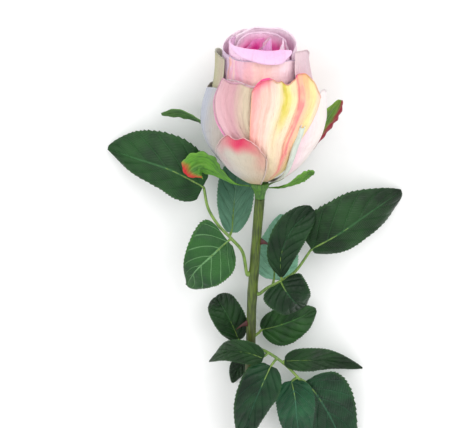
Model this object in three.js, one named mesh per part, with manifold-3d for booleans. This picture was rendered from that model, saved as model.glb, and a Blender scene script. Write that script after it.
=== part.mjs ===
// A cut rose lying on a table: one large bud, its five sepals, a thorny stem and five leaves.
//
// Units are millimetres. While the rose is drawn, the base of the bud is over the origin, the stem
// runs towards -Y, +X is to the right and the table is Z = 0. The last lines then move the whole
// rose so that its bounding box stands centred on the origin.
import * as THREE from 'three';
import Module from 'manifold-3d';
import { mergeVertices } from 'three/addons/utils/BufferGeometryUtils.js';

const wasm = await Module();
wasm.setup();

// ---------------------------------------------------------------- driving dimensions
const BLOOM_RADIUS = 31; // the widest petals, from the bud's axis
const BLOOM_HEIGHT = 77; // base of the petals to the rim of the heart
const BLOOM_TILT = 6.5; // degrees that the bud's axis rises from the table
const BLOOM_SHIFT = 1; // the bud's axis, to the right of the stem's top

const PETAL_THICKNESS = 0.5;
const PETAL_GAP = 0.8; // air between one layer of petals and the next
const OUTER_LAYERS = 5;
const CORE_LAYERS = 8;
const CORE_GAP = 0.7; // air between the outer petals and the heart of the bud
const HEART_RADIUS = 4.5; // the innermost rolled petal

const STEM_RADIUS = 2.5;
const STEM_LENGTH = 220; // bud to cut end
const NECK_LENGTH = 8; // the swollen green neck under the bud
const THORN_LENGTH = 7;
const THORN_RADIUS = 1.5;

const STALK_RADIUS = 0.9;
const LEAF_THICKNESS = 0.6;
const SEPAL_THICKNESS = 0.6;
const JOINT_GAP = 0.35; // between pieces that meet
const REST_GAP = 0.05; // a blade pressed on the table stays this far above it

// ---------------------------------------------------------------- small helpers
const degrees = THREE.MathUtils.degToRad;
const lerp = THREE.MathUtils.lerp;
const point = (x, y, z) => new THREE.Vector3(x, y, z);

/** A curve through the given points that bends evenly. */
function through(points) {
  return new THREE.CatmullRomCurve3(points, false, 'catmullrom', 0.5);
}

/** A closed thin solid around the surface at(u, v), where u runs from -1 to 1 and v from 0 to 1. */
function sheet(at, thickness, across, along) {
  const step = 1e-3;
  const faces = [[], []];
  for (let j = 0; j <= along; j++) {
    for (let i = 0; i <= across; i++) {
      const u = lerp(-1, 1, i / across);
      const v = j / along;
      const du = at(Math.min(u + step, 1), v).sub(at(Math.max(u - step, -1), v));
      const dv = at(u, Math.min(v + step, 1)).sub(at(u, Math.max(v - step, 0)));
      const normal = du.cross(dv).normalize();
      faces[0].push(at(u, v).addScaledVector(normal, thickness / 2));
      faces[1].push(at(u, v).addScaledVector(normal, -thickness / 2));
    }
  }
  const row = across + 1;
  const below = faces[0].length;
  const index = [];
  for (let j = 0; j < along; j++) {
    for (let i = 0; i < across; i++) {
      const a = j * row + i;
      const [b, c, d] = [a + 1, a + row + 1, a + row];
      index.push(a, b, c, a, c, d);
      index.push(below + a, below + c, below + b, below + a, below + d, below + c);
    }
  }
  const rim = [];
  for (let i = 0; i < across; i++) rim.push(i);
  for (let j = 0; j < along; j++) rim.push(j * row + across);
  for (let i = across; i > 0; i--) rim.push(along * row + i);
  for (let j = along; j > 0; j--) rim.push(j * row);
  rim.forEach((a, n) => {
    const b = rim[(n + 1) % rim.length];
    index.push(a, below + a, below + b, a, below + b, b);
  });
  const geometry = new THREE.BufferGeometry().setFromPoints([...faces[0], ...faces[1]]);
  geometry.setIndex(index);
  geometry.computeVertexNormals();
  return geometry;
}

/** A round bar along a curve, with flat ends. */
function bar(curve, radius, sides, steps) {
  const section = new THREE.Shape();
  for (let n = 0; n < sides; n++) {
    const angle = (2 * Math.PI * n) / sides;
    section[n ? 'lineTo' : 'moveTo'](radius * Math.cos(angle), radius * Math.sin(angle));
  }
  section.closePath();
  return new THREE.ExtrudeGeometry(section, { extrudePath: curve, steps, curveSegments: 1 });
}

/** A three.js geometry as a manifold-3d solid. */
function solid(geometry) {
  const bare = new THREE.BufferGeometry();
  bare.setAttribute('position', geometry.getAttribute('position').clone());
  if (geometry.index) bare.setIndex(geometry.index.clone());
  const merged = mergeVertices(bare, 1e-3);
  return new wasm.Manifold(new wasm.Mesh({
    numProp: 3,
    vertProperties: merged.attributes.position.array,
    triVerts: new Uint32Array(merged.index.array),
  }));
}

/** A manifold-3d solid as a three.js geometry. */
function geometryOf(body) {
  const mesh = body.getMesh();
  const geometry = new THREE.BufferGeometry();
  geometry.setAttribute('position', new THREE.BufferAttribute(new Float32Array(mesh.vertProperties), 3));
  geometry.setIndex(new THREE.BufferAttribute(new Uint32Array(mesh.triVerts), 1));
  geometry.computeVertexNormals();
  return geometry;
}

function finish(color, roughness) {
  return new THREE.MeshStandardMaterial({ color, roughness, metalness: 0, side: THREE.DoubleSide });
}

const FINISH = {
  stem: finish(0x5f7320, 0.5),
  neck: finish(0x5c9a24, 0.5),
  stalk: finish(0x7e9140, 0.5),
  leaf: finish(0x1f4a2a, 0.45),
  sepal: finish(0x5f9a22, 0.5),
  petalPale: finish(0xe6d6c4, 0.7),
  petalBlush: finish(0xf3b9a2, 0.7),
  petalPink: finish(0xf2b4d8, 0.7),
};

function piece(name, geometry, material, parent) {
  const mesh = new THREE.Mesh(geometry, material);
  mesh.name = name;
  parent.add(mesh);
  return mesh;
}

const rose = new THREE.Group();

// ---------------------------------------------------------------- the bud's profiles
// Each profile is [radius, height] pairs along a petal's middle line, from the bud's axis outwards.
const widen = BLOOM_RADIUS / 31;
const raise = BLOOM_HEIGHT / 77;
const PETAL_ROOT = 3.4; // radius at which the petals leave the receptacle

const outerProfile = through([
  [PETAL_ROOT, 0], [10 * widen, 1.5 * raise], [16 * widen, 6 * raise], [21.5 * widen, 12 * raise],
  [27 * widen, 21 * raise], [30.4 * widen, 30 * raise], [31 * widen, 37 * raise],
  [30 * widen, 45 * raise], [27.8 * widen, 53 * raise], [26.4 * widen, 60 * raise],
  [26 * widen, 67 * raise],
].map(([r, h]) => point(r, h, 0)));

const petalPitch = PETAL_THICKNESS + PETAL_GAP;
const coreRadius = 26 * widen - OUTER_LAYERS * petalPitch - CORE_GAP;
const coreFloor = OUTER_LAYERS * petalPitch + CORE_GAP;
const corePitch = (coreRadius - HEART_RADIUS) / (CORE_LAYERS - 1);

const coreProfile = through([
  [PETAL_ROOT, coreFloor], [0.55 * coreRadius, coreFloor + 3], [0.85 * coreRadius, coreFloor + 12],
  [coreRadius, coreFloor + 27], [coreRadius, BLOOM_HEIGHT - 22], [coreRadius, BLOOM_HEIGHT - 10],
  [0.94 * coreRadius, BLOOM_HEIGHT - 4], [0.84 * coreRadius, BLOOM_HEIGHT],
].map(([r, h]) => point(r, h, 0)));

/** The share of a profile's length at which it reaches a height. */
function shareAtHeight(profile, height) {
  const steps = 200;
  for (let n = 1; n <= steps; n++) {
    if (profile.getPointAt(n / steps).y >= height) return n / steps;
  }
  return 1;
}

/** The point of a profile at a share of its length, moved towards the inside of the bud. */
function profilePoint(profile, share, inset) {
  const at = profile.getPointAt(share);
  const way = profile.getTangentAt(share);
  return [at.x - way.y * inset, at.y + way.x * inset];
}

/** A list of values spread evenly over -1 to 1, read smoothly at u. */
function evenly(values, u) {
  const place = ((u + 1) / 2) * (values.length - 1);
  const n = Math.min(Math.floor(place), values.length - 2);
  return lerp(values[n], values[n + 1], THREE.MathUtils.smoothstep(place - n, 0, 1));
}

// All petals share the rows of their lower part, so that layers stay parallel where the bud is round.
const ROWS_LOW = 5;
const ROWS_HIGH = 4;
const LOW_SHARE = 0.45;

/**
 * One petal's middle surface in the bud's own frame, where Z is the axis and -Y faces upwards
 * when the rose lies down. The angle is measured from there towards +X. The rim is a list of
 * heights from the petal's left edge to its right edge; flare opens the top outwards.
 */
function petalSurface({ angle, spread, rim, flare = 0, place }) {
  return (u, v) => {
    const reach = shareAtHeight(place.profile, evenly(rim, u) * raise);
    const low = Math.min(LOW_SHARE, 0.8 * reach);
    const knee = ROWS_LOW / (ROWS_LOW + ROWS_HIGH);
    const share = v < knee ? (low * v) / knee : lerp(low, reach, (v - knee) / (1 - knee));
    const [radius, height] = place.point(share);
    const open = 0.5 + 0.5 * Math.sin((Math.min(v / 0.6, 1) * Math.PI) / 2);
    const turn = degrees(angle + u * spread * open);
    const out = radius + flare * v ** 4;
    return point(out * Math.sin(turn), -out * Math.cos(turn), height);
  };
}

/** The outer petals lie inside each other like skins, one pitch apart. */
function outerPlace(layer) {
  return {
    profile: outerProfile,
    point: (share) => profilePoint(outerProfile, share, layer * petalPitch),
  };
}

/** The petals of the heart are ever narrower copies of its outermost one. */
function heartPlace(layer) {
  const narrow = (coreRadius - layer * corePitch) / coreRadius;
  return {
    profile: coreProfile,
    point: (share) => {
      const at = coreProfile.getPointAt(share);
      return [at.x * narrow, at.y + 1.2 * layer * (1 - share)];
    },
  };
}

// ---------------------------------------------------------------- where the bud lies
const tilt = degrees(BLOOM_TILT);

/** Height of the bud's base at which its widest petals just touch the table. */
function baseHeight() {
  let highest = 0;
  for (let n = 0; n <= 100; n++) {
    const { x: radius, y: height } = outerProfile.getPointAt(n / 100);
    highest = Math.max(highest, radius * Math.cos(tilt) - height * Math.sin(tilt));
  }
  return highest + PETAL_THICKNESS / 2 + REST_GAP;
}

const bloom = new THREE.Group();
bloom.position.set(BLOOM_SHIFT, 0, baseHeight());
bloom.rotation.x = -(Math.PI / 2 - tilt);
rose.add(bloom);

// ---------------------------------------------------------------- petals
// Layer 0 is the outermost. Angles are degrees round the bud from the side that faces up.
const OUTER_PETALS = [
  { name: 'petal_front_low', layer: 0, angle: -28, spread: 34, look: 'petalPale',
    rim: [31, 34.5, 35.5, 35.5, 34.5, 32, 22] },
  { name: 'petal_right', layer: 0, angle: 80, spread: 44, look: 'petalPale',
    rim: [33, 40, 44, 47, 48, 46, 36] },
  { name: 'petal_under', layer: 0, angle: 177, spread: 48, look: 'petalPale',
    rim: [34, 43, 46, 46, 46, 43, 34] },
  { name: 'petal_left', layer: 1, angle: -100, spread: 46, look: 'petalPale',
    rim: [40, 47, 49, 49, 48, 46, 40] },
  { name: 'petal_front', layer: 1, angle: 32, spread: 38, look: 'petalBlush',
    rim: [56, 60.5, 59.5, 56, 57, 60, 56, 44] },
  { name: 'petal_under_right', layer: 1, angle: 124, spread: 38, look: 'petalPale',
    rim: [40, 47, 50, 50, 50, 47, 38] },
  { name: 'petal_front_left', layer: 2, angle: -40, spread: 42, look: 'petalBlush',
    rim: [48, 56, 58.5, 58.5, 58, 57.5, 55] },
  { name: 'petal_under_left', layer: 2, angle: -164, spread: 40, look: 'petalPale',
    rim: [44, 52, 56, 56, 55, 50, 42] },
  { name: 'petal_back_right', layer: 3, angle: 115, spread: 36, look: 'petalPale', flare: 2.5,
    rim: [54, 61, 65.5, 66, 65, 60, 50] },
  { name: 'petal_back_left', layer: 3, angle: -120, spread: 40, look: 'petalPale',
    rim: [50, 58, 63, 65.5, 65.5, 62, 54] },
  { name: 'petal_inner_front', layer: 4, angle: 4, spread: 60, look: 'petalBlush',
    rim: [48, 54, 56.5, 56.5, 56.5, 54, 48] },
  { name: 'petal_inner_back', layer: 4, angle: 182, spread: 60, look: 'petalBlush',
    rim: [52, 60, 64, 65, 64, 60, 52] },
];

for (const { name, layer, look, ...shape } of OUTER_PETALS) {
  const surface = petalSurface({ ...shape, place: outerPlace(layer) });
  piece(name, sheet(surface, PETAL_THICKNESS, 8, ROWS_LOW + ROWS_HIGH), FINISH[look], bloom);
}

// The heart: each petal wraps most of the way round and starts further on than the last.
const HEART_PETALS = [
  { name: 'heart_wrap_left', angle: -60, spread: 130, rim: [72, 74.5, 74.5, 73, 71, 70, 67] },
  { name: 'heart_wrap_right', angle: 112, spread: 118, rim: [65, 72, 76, 77, 77, 76, 73] },
  { name: 'heart_lip_front', angle: -25, spread: 88, rim: [70, 74, 73.5, 72, 71.5, 71, 66] },
  { name: 'heart_wrap_back', angle: 178, spread: 112, rim: [70, 75, 77, 77, 77, 75, 70] },
  { name: 'heart_fold_right', angle: 62, spread: 92, rim: [68, 73, 75, 76, 75, 74, 70] },
  { name: 'heart_fold_left', angle: -92, spread: 98, rim: [68, 72, 74, 75, 74, 72, 68] },
  { name: 'heart_tip_right', angle: 75, spread: 95, rim: [68, 72, 74, 76.5, 74, 72, 68] },
  { name: 'heart_roll', angle: 0, spread: 150, rim: [68, 70, 72, 72, 72, 70, 68] },
];

HEART_PETALS.forEach(({ name, ...shape }, layer) => {
  const surface = petalSurface({ ...shape, place: heartPlace(layer) });
  const across = layer < 4 ? 12 : 10;
  piece(name, sheet(surface, PETAL_THICKNESS, across, ROWS_LOW + ROWS_HIGH - 1), FINISH.petalPink, bloom);
});

// ---------------------------------------------------------------- receptacle and sepals
const NECK_RADIUS = 4.2; // the calyx, under the petals
const COLUMN_RADIUS = PETAL_ROOT - 1.6; // inside the petals' roots
const petalFloor = -PETAL_THICKNESS / 2 - JOINT_GAP;
const columnTop = coreFloor + petalFloor; // the heart stands on the column

const receptacleOutline = [
  [0, -NECK_LENGTH], [STEM_RADIUS, -NECK_LENGTH], [STEM_RADIUS + 0.4, -0.55 * NECK_LENGTH],
  [NECK_RADIUS, petalFloor - 1.2], [NECK_RADIUS - 0.6, petalFloor], [COLUMN_RADIUS, petalFloor],
  [COLUMN_RADIUS, columnTop], [0, columnTop],
].map(([r, h]) => new THREE.Vector2(r, h));
const receptacle = new THREE.LatheGeometry(receptacleOutline, 16);
receptacle.rotateX(Math.PI / 2);
piece('receptacle', receptacle, FINISH.neck, bloom);

/** Half the width of a blade at a share of its length, as a share of its full half width. */
function bladeOutline(share, base, tip) {
  const widest = base / (base + tip);
  const raw = (s) => s ** base * (1 - s) ** tip;
  return raw(share) / raw(widest);
}

/**
 * A blade around a rib. The blade lies square to the rib along `across`, is rolled round the rib
 * from roll[0] to roll[1] and never goes below the floor height. Of each pair, the first value is
 * the left half's and the second the right half's, seen from the stalk: the half's width, the angle
 * it is folded up by, and how long it tapers to the tip.
 */
function bladeSurface({ rib, across, halves, fold, taper, base, roll, floor, least = 0.5 }) {
  return (u, v) => {
    const middle = rib.getPoint(v);
    const way = rib.getTangent(v);
    const side = across.clone().addScaledVector(way, -across.dot(way)).normalize();
    side.applyAxisAngle(way, degrees(lerp(roll[0], roll[1], v)));
    const up = side.clone().cross(way);
    const half = u < 0 ? 0 : 1;
    const outline = bladeOutline(lerp(0.02, 0.985, v), base, taper[half]);
    const out = u * Math.max(halves[half] * outline, least);
    middle.addScaledVector(side, out * Math.cos(degrees(fold[half])));
    middle.addScaledVector(up, Math.abs(out) * Math.sin(degrees(fold[half])));
    if (floor !== undefined) middle.z = Math.max(middle.z, floor);
    return middle;
  };
}

// A sepal follows the bud's skin and then leaves it. Its rib is [radius, height, angle] points.
const SEPALS = [
  { name: 'sepal_left', halves: [5.5, 5.5], roll: [10, 85],
    rib: [[4.9, -1.6, -88], [13, 0.6, -88], [22, 8.4, -88], [28.5, 14, -87], [35, 12.5, -86], [39.5, 6, -86]] },
  { name: 'sepal_under_left', halves: [4.5, 4.5], roll: [0, 75],
    rib: [[4.9, -1.6, -136], [14, 1.6, -134], [24.5, 12.5, -128], [32.6, 26, -119], [43, 31, -114], [54, 29.5, -113]] },
  { name: 'sepal_right', halves: [5.5, 5.5], roll: [0, -75],
    rib: [[4.9, -1.6, 116], [14, 1.6, 115], [25, 12, 110], [34.2, 25.5, 103], [37.2, 35, 101], [38.5, 43, 100]] },
  { name: 'sepal_low_right', halves: [5, 5], roll: [0, -55],
    rib: [[4.9, -1.6, 64], [11, -0.4, 65], [17, 3.4, 67], [22.5, 9.5, 70], [26, 10, 73], [28.5, 7, 75]] },
  { name: 'sepal_under', halves: [5, 5], roll: [0, 0],
    rib: [[4.9, -1.6, 170], [14, 1, 170], [22.3, 8.6, 170], [26.4, 14.2, 170], [28.4, 19, 170], [29, 24, 170]] },
];

for (const { name, halves, roll, rib } of SEPALS) {
  const turn = degrees(rib[0][2]);
  const across = point(Math.cos(turn), Math.sin(turn), 0);
  const curve = through(rib.map(([r, h, angle]) => {
    const radius = r > 10 ? r * widen : r;
    const way = degrees(angle);
    return point(radius * Math.sin(way), -radius * Math.cos(way), h * raise);
  }));
  const surface = bladeSurface({
    rib: curve, across, halves, fold: [8, 8], taper: [0.7, 0.7], base: 0.6, roll, least: 0.7,
  });
  piece(name, sheet(surface, SEPAL_THICKNESS, 2, 10), FINISH.sepal, bloom);
}

// ---------------------------------------------------------------- stem and thorns
bloom.updateMatrixWorld(true);
const stemTop = bloom.localToWorld(point(0, 0, -NECK_LENGTH - JOINT_GAP));

/** The stem sinks evenly from the bud to the table, where its cut end lies. */
function stemHeight(y) {
  return lerp(stemTop.z, STEM_RADIUS + REST_GAP, (stemTop.y - y) / (stemTop.y + STEM_LENGTH));
}

// [x, y] of the stem's middle line, from the bud to the cut end.
const stemCurve = through([
  stemTop,
  ...[[-0.5, -30], [-2.5, -65], [-3, -90], [-4.5, -140], [-6, -180]].map(([x, y]) =>
    point(x, y, stemHeight(y))),
  point(-6.5, -STEM_LENGTH, stemHeight(-STEM_LENGTH)),
]);

/** The stem's middle line at a distance y from the bud. */
function stemAt(y) {
  let [near, far] = [0, 1];
  for (let n = 0; n < 30; n++) {
    const half = (near + far) / 2;
    if (stemCurve.getPoint(half).y > y) near = half;
    else far = half;
  }
  return stemCurve.getPoint(near);
}

// Where each thorn grows, and the way it points: right is 0 degrees and up is 90.
const THORNS = [
  { y: -31, turn: 25 },
  { y: -77, turn: 150 },
  { y: -158, turn: 60 },
  { y: -186, turn: 165 },
];

let stem = solid(bar(stemCurve, STEM_RADIUS, 12, 30));
for (const { y, turn } of THORNS) {
  const thorn = new THREE.ConeGeometry(THORN_RADIUS, THORN_LENGTH + STEM_RADIUS / 2, 8);
  thorn.scale(0.6, 1, 1.5);
  thorn.translate(0, (THORN_LENGTH + STEM_RADIUS / 2) / 2 + STEM_RADIUS / 2, 0);
  thorn.rotateX(degrees(-14)); // hooked back towards the cut end
  const placed = new THREE.Object3D();
  placed.position.copy(stemAt(y));
  placed.rotation.y = Math.PI / 2 - degrees(turn);
  placed.rotateX(Math.PI / 2);
  placed.updateMatrixWorld(true);
  stem = stem.add(solid(thorn.applyMatrix4(placed.matrixWorld)));
}
piece('stem', geometryOf(stem), FINISH.stem, rose);

// ---------------------------------------------------------------- leaves
const LEAVES_PLACED_AT = 2.5; // the stem radius that the places below are given for
const thicker = STEM_RADIUS - LEAVES_PLACED_AT;

/**
 * A place given as [x, y, height above the stem's middle line]. It moves away from the stem by as
 * much as the stem has grown, and less right in front of it, where the height alone clears it.
 */
function beside([x, y, lift]) {
  const away = (distance) => thicker * THREE.MathUtils.clamp(distance / LEAVES_PLACED_AT, -1, 1);
  const z = stemHeight(y) + lift + away(lift);
  return point(x + away(x - stemAt(y).x), y, Math.max(z, 0));
}

// Leaf stalks. Each starts at a distance along the stem and ends where its last leaflet starts.
const STALKS = [
  { name: 'stalk_a', from: -49,
    via: [[-7.5, -37, 1.5], [-13, -29, 4], [-20, -21.5, 3], [-25, -13, 1]], to: [-27, -3.5, -2] },
  { name: 'stalk_b', from: -60, via: [[5.5, -56.5, 2], [12, -52.5, 3], [19.5, -48, 0.5]],
    to: [26.8, -38.5, -3.5] },
  { name: 'stalk_c', from: -92.5, via: [], to: [-7.8, -91, -5.5] },
  { name: 'stalk_d', from: -86, via: [], to: [1.6, -85, -5.5] },
  { name: 'stalk_e', from: -90.5, via: [[6, -92, 6.5], [11.5, -95, 9], [17, -100, 9]],
    to: [22.5, -107, 7.5] },
  { name: 'stalk_f', from: -95, via: [], to: [-3.2, -98, -6.2] },
];

for (const { name, from, via, to } of STALKS) {
  const inner = [...via, to].map(beside);
  const root = stemAt(from);
  const leaving = inner[0].clone().sub(root);
  const along = stemAt(from - 1).sub(stemAt(from + 1)).normalize();
  const square = leaving.clone().addScaledVector(along, -leaving.dot(along)).normalize();
  root.addScaledVector(square, STEM_RADIUS + JOINT_GAP);
  const curve = through([root, root.clone().addScaledVector(square, STALK_RADIUS), ...inner]);
  piece(name, geometryOf(solid(bar(curve, STALK_RADIUS, 6, 4 * via.length + 4))), FINISH.stalk, rose);
}

// Leaflets. Each rib runs from the stalk to the tip as [x, y, height above the stem's middle line].
const LEAFLETS = [
  { name: 'leaf_a_end', halves: [11.5, 17.5], fold: [-12, 2], taper: [1.2, 0.75], roll: [6, 2],
    rib: [[-27.5, -2.5, -2.5], [-44, 5.5, -5.5], [-63, 9.5, -16], [-77, 12.5, -25]] },
  { name: 'leaf_a_low', halves: [14.5, 12], fold: [8, 8], taper: [0.8, 1.4], roll: [-4, 6],
    rib: [[-15, -30, 4], [-22.5, -36, 8.5], [-31.5, -45.5, 5.5], [-35, -55, -7]] },
  { name: 'leaf_a_up', halves: [9.5, 10], fold: [8, 8], taper: [0.8, 0.8], roll: [0, 0],
    rib: [[-13, -26, 1.5], [-12, -16, -12], [-10.5, -4, -21], [-9, 6, -24.5]] },
  { name: 'leaf_b_end', halves: [17.5, 11.5], fold: [0, -14], taper: [0.9, 0.9], roll: [-2, 0],
    rib: [[28, -37, -4], [42, -27.5, -1], [58, -18.5, -10], [75.5, -10, -23]] },
  { name: 'leaf_b_mid', halves: [9.5, 8], fold: [10, 10], taper: [1.2, 0.8], roll: [0, 15],
    rib: [[12, -49.5, 4.5], [12, -37.5, 4.5], [16, -24.5, 2], [24.5, -14.5, -4]] },
  { name: 'leaf_b_round', halves: [12.5, 12.5], fold: [8, 8], taper: [0.6, 0.6], roll: [0, 0],
    rib: [[12.5, -52.8, 4.5], [13.5, -55, 10], [16.5, -60, 10.5], [20, -67.5, -1]] },
  { name: 'leaf_b_back', halves: [10, 10], fold: [4, 4], taper: [0.75, 0.75], roll: [0, 0],
    rib: [[9, -53.5, -3], [11, -47, -11], [14, -36.5, -16], [15.5, -24, -19.5]] },
  { name: 'leaf_c', halves: [10, 10], fold: [10, 10], taper: [0.7, 0.7], roll: [0, 0],
    rib: [[-9.3, -90, -7.6], [-13, -79.5, -4.5], [-17.5, -70, -3.5], [-21.5, -66.5, -11.5]] },
  { name: 'leaf_d', halves: [9.5, 11.5], fold: [8, 8], taper: [0.75, 0.75], roll: [0, 0],
    rib: [[3, -84, -7], [12, -81, -5.5], [22, -77, -6], [32, -74.5, -13]] },
  { name: 'leaf_e_left', halves: [6, 7], fold: [12, 12], taper: [0.9, 0.9], roll: [-10, 50],
    rib: [[3.5, -94, 9.5], [-6, -91, 9], [-16, -93.5, 2.5], [-25, -103.5, -8.5]] },
  { name: 'leaf_e_right', halves: [7.5, 6], fold: [10, 10], taper: [0.9, 0.9], roll: [0, -15],
    rib: [[18, -95.5, 10], [27, -96.5, 8], [40, -100.5, -2], [58, -109, -12]] },
  { name: 'leaf_e_low_left', halves: [10, 12], fold: [8, 8], taper: [0.9, 0.9], roll: [0, -5],
    rib: [[7.5, -99, 8.5], [2.5, -109, 14], [-3, -126, 12], [-7.5, -150.5, 5]] },
  { name: 'leaf_e_low_mid', halves: [10.5, 10.5], fold: [8, 8], taper: [0.8, 0.8], roll: [0, 0],
    rib: [[18.5, -108.5, 6.5], [20.5, -118, 9], [22.5, -136, 3.5], [27, -165, -7]] },
  { name: 'leaf_e_low_right', halves: [15.5, 12.5], fold: [2, 8], taper: [0.85, 0.8], roll: [-4, 0],
    rib: [[26, -110, 4.5], [33, -120, 2], [42.5, -139, -3], [54, -168, -6]] },
  { name: 'leaf_f', halves: [5.5, 5.5], fold: [6, 6], taper: [0.8, 0.8], roll: [0, 0],
    rib: [[-3.8, -99.3, -7.4], [-7, -104, -8.6], [-10, -110, -10.2], [-12.5, -118, -12]] },
];

for (const { name, rib, ...shape } of LEAFLETS) {
  const curve = through(rib.map(beside));
  const across = curve.getPoint(1).sub(curve.getPoint(0)).cross(point(0, 0, 1)).normalize();
  const floor = LEAF_THICKNESS / 2 + REST_GAP;
  const surface = bladeSurface({ rib: curve, across, base: 0.5, floor, ...shape });
  piece(name, sheet(surface, LEAF_THICKNESS, 4, 9), FINISH.leaf, rose);
}

// ---------------------------------------------------------------- stand the box on the origin
const bounds = new THREE.Box3().setFromObject(rose, true);
const centre = bounds.getCenter(point(0, 0, 0));
rose.position.set(-centre.x, -centre.y, -bounds.min.z);

export default rose;
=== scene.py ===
"""The looks of a cut rose that lies on a pale floor: bud, calyx, stem, thorns and leaves.

Sizes are in millimetres, in the rose's own frame: the bud's base stands over the origin, the
stem runs towards -Y and the floor is at Z = 0. Frame turns them into metres round the CAD model.
"""

from __future__ import annotations

import logging
import math
from collections.abc import Sequence
from dataclasses import dataclass, field
from enum import Enum

import bpy
import numpy as np
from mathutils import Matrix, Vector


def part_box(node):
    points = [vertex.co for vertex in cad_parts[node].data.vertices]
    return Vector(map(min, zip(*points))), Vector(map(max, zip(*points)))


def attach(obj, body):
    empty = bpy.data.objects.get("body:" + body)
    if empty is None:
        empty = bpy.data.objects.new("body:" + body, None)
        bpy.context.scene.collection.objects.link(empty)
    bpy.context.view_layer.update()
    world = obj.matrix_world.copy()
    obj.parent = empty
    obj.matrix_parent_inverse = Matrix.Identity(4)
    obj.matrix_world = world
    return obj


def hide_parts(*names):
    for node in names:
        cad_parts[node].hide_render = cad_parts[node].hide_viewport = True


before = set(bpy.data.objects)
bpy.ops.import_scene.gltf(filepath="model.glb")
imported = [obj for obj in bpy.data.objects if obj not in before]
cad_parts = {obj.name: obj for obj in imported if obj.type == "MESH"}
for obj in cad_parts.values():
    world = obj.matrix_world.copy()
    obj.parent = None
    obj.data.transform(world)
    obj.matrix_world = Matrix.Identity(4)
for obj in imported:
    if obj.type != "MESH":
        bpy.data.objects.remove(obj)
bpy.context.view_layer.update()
LOG = logging.getLogger("cut_rose")
BODY = "root"
SEED = 11
MM_PER_M = 1000
RIPPLE_PACE = (0.5, 1.6)  # the slowest and fastest waves of a ripple
RIPPLE_GAIN = 1.6
PROFILE_STEPS = 800
LEAF_SWEEP = 0.36  # how far a side vein climbs along the leaf before it reaches the edge
FINE_GRAIN = 900.0  # cells in a metre of a leaf or sepal
THORN_POINT, THORN_FLATNESS = 0.00006, 0.6
BARK_GRAIN = 260.0  # cells in a metre of the bark's relief
FLOOR_GAP = 0.08  # how far above the floor the lowest leaf and sepal points stay

Array = np.ndarray
Colour = tuple[float, float, float, float]


# ---------------------------------------------------------------- numbers and curves
def colour(code: str) -> Colour:
    """Turns a hex colour into the linear one that shaders use.

    Args:
        code: The colour as "#rrggbb".

    Returns:
        Red, green, blue and an alpha of one.
    """
    parts = [int(code[n : n + 2], 16) / 255 for n in (1, 3, 5)]
    linear = [p / 12.92 if p <= 0.04045 else ((p + 0.055) / 1.055) ** 2.4 for p in parts]
    return (linear[0], linear[1], linear[2], 1.0)


def smooth(values: Array, low: float = 0.0, high: float = 1.0) -> Array:
    """Rises smoothly from 0 at low to 1 at high.

    Args:
        values: The numbers to read.
        low: Where the rise starts.
        high: Where it ends.

    Returns:
        Values between 0 and 1.
    """
    t = np.clip((np.asarray(values, float) - low) / (high - low), 0.0, 1.0)
    return t * t * (3 - 2 * t)


def spline(points: Sequence, t: Array) -> Array:
    """Reads a smooth curve through evenly spaced points.

    Args:
        points: The numbers or points that the curve passes.
        t: Places on it, from 0 to 1.

    Returns:
        One value or point for each place.
    """
    pts = np.asarray(points, float)
    flat = pts.reshape(len(pts), -1)
    ends = np.vstack([2 * flat[0] - flat[1], flat, 2 * flat[-1] - flat[-2]])
    place = np.clip(np.asarray(t, float), 0, 1) * (len(flat) - 1)
    n = np.minimum(place.astype(int), len(flat) - 2)
    w = (place - n)[..., None]
    a, b, c, d = ends[n], ends[n + 1], ends[n + 2], ends[n + 3]
    near, far = 0.5 * (c - a), 0.5 * (d - b)
    cubic, square = 2 * b - 2 * c + near + far, 3 * c - 3 * b - 2 * near - far
    out = cubic * w**3 + square * w**2 + near * w + b
    return out[..., 0] if pts.ndim == 1 else out


def unit(vectors: Array) -> Array:
    """Scales vectors to length one."""
    return vectors / np.maximum(np.linalg.norm(vectors, axis=-1, keepdims=True), 1e-12)


def turned(vectors: Array, axes: Array, angles: Array) -> Array:
    """Turns vectors round unit axes.

    Args:
        vectors: The vectors to turn.
        axes: One unit axis for each.
        angles: One angle for each, in radians.

    Returns:
        The turned vectors.
    """
    c, s = np.cos(angles)[..., None], np.sin(angles)[..., None]
    along = np.sum(vectors * axes, axis=-1, keepdims=True)
    return vectors * c + np.cross(axes, vectors) * s + axes * along * (1 - c)


def ripple(x: Array, y: Array, seed: int, waves: int = 5) -> Array:
    """A soft random field that is the same on every run.

    Args:
        x: First coordinate.
        y: Second coordinate.
        seed: Which field.
        waves: How many sine waves it sums.

    Returns:
        Values mostly between -1 and 1.
    """
    rng = np.random.default_rng(SEED * 1000 + seed)
    total = np.zeros(np.broadcast(x, y).shape)
    for _ in range(waves):
        fx, fy = rng.uniform(*RIPPLE_PACE, 2) * rng.choice([-1, 1], 2)
        total = total + np.sin(fx * x + fy * y + rng.uniform(0, 2 * math.pi))
    return total / waves * RIPPLE_GAIN


class Profile:
    """A petal's middle line as radius and height, read by its share of the length."""

    def __init__(self, points: Sequence[tuple[float, float]]) -> None:
        """Measures the line through the points.

        Args:
            points: Pairs of radius and height, from the base up.
        """
        self.points = spline(points, np.linspace(0, 1, PROFILE_STEPS))
        steps = np.linalg.norm(np.diff(self.points, axis=0), axis=1)
        run = np.concatenate([[0.0], np.cumsum(steps)])
        self.length = float(run[-1])
        self.shares = run / self.length
        self.ways = unit(np.gradient(self.points, axis=0))

    def at(self, share: Array, inset: Array | float = 0.0) -> tuple[Array, Array]:
        """Reads the line.

        Args:
            share: Shares of its length.
            inset: How far towards the inside of the bud.

        Returns:
            Radii and heights.
        """
        r, h, wr, wh = (
            np.interp(share, self.shares, column)
            for column in (*self.points.T, *self.ways.T)
        )
        return r - wh * inset, h + wr * inset

    def share_at(self, height: Array) -> Array:
        """The share of the length at which the line reaches a height."""
        return np.interp(height, self.points[:, 1], self.shares)


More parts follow.
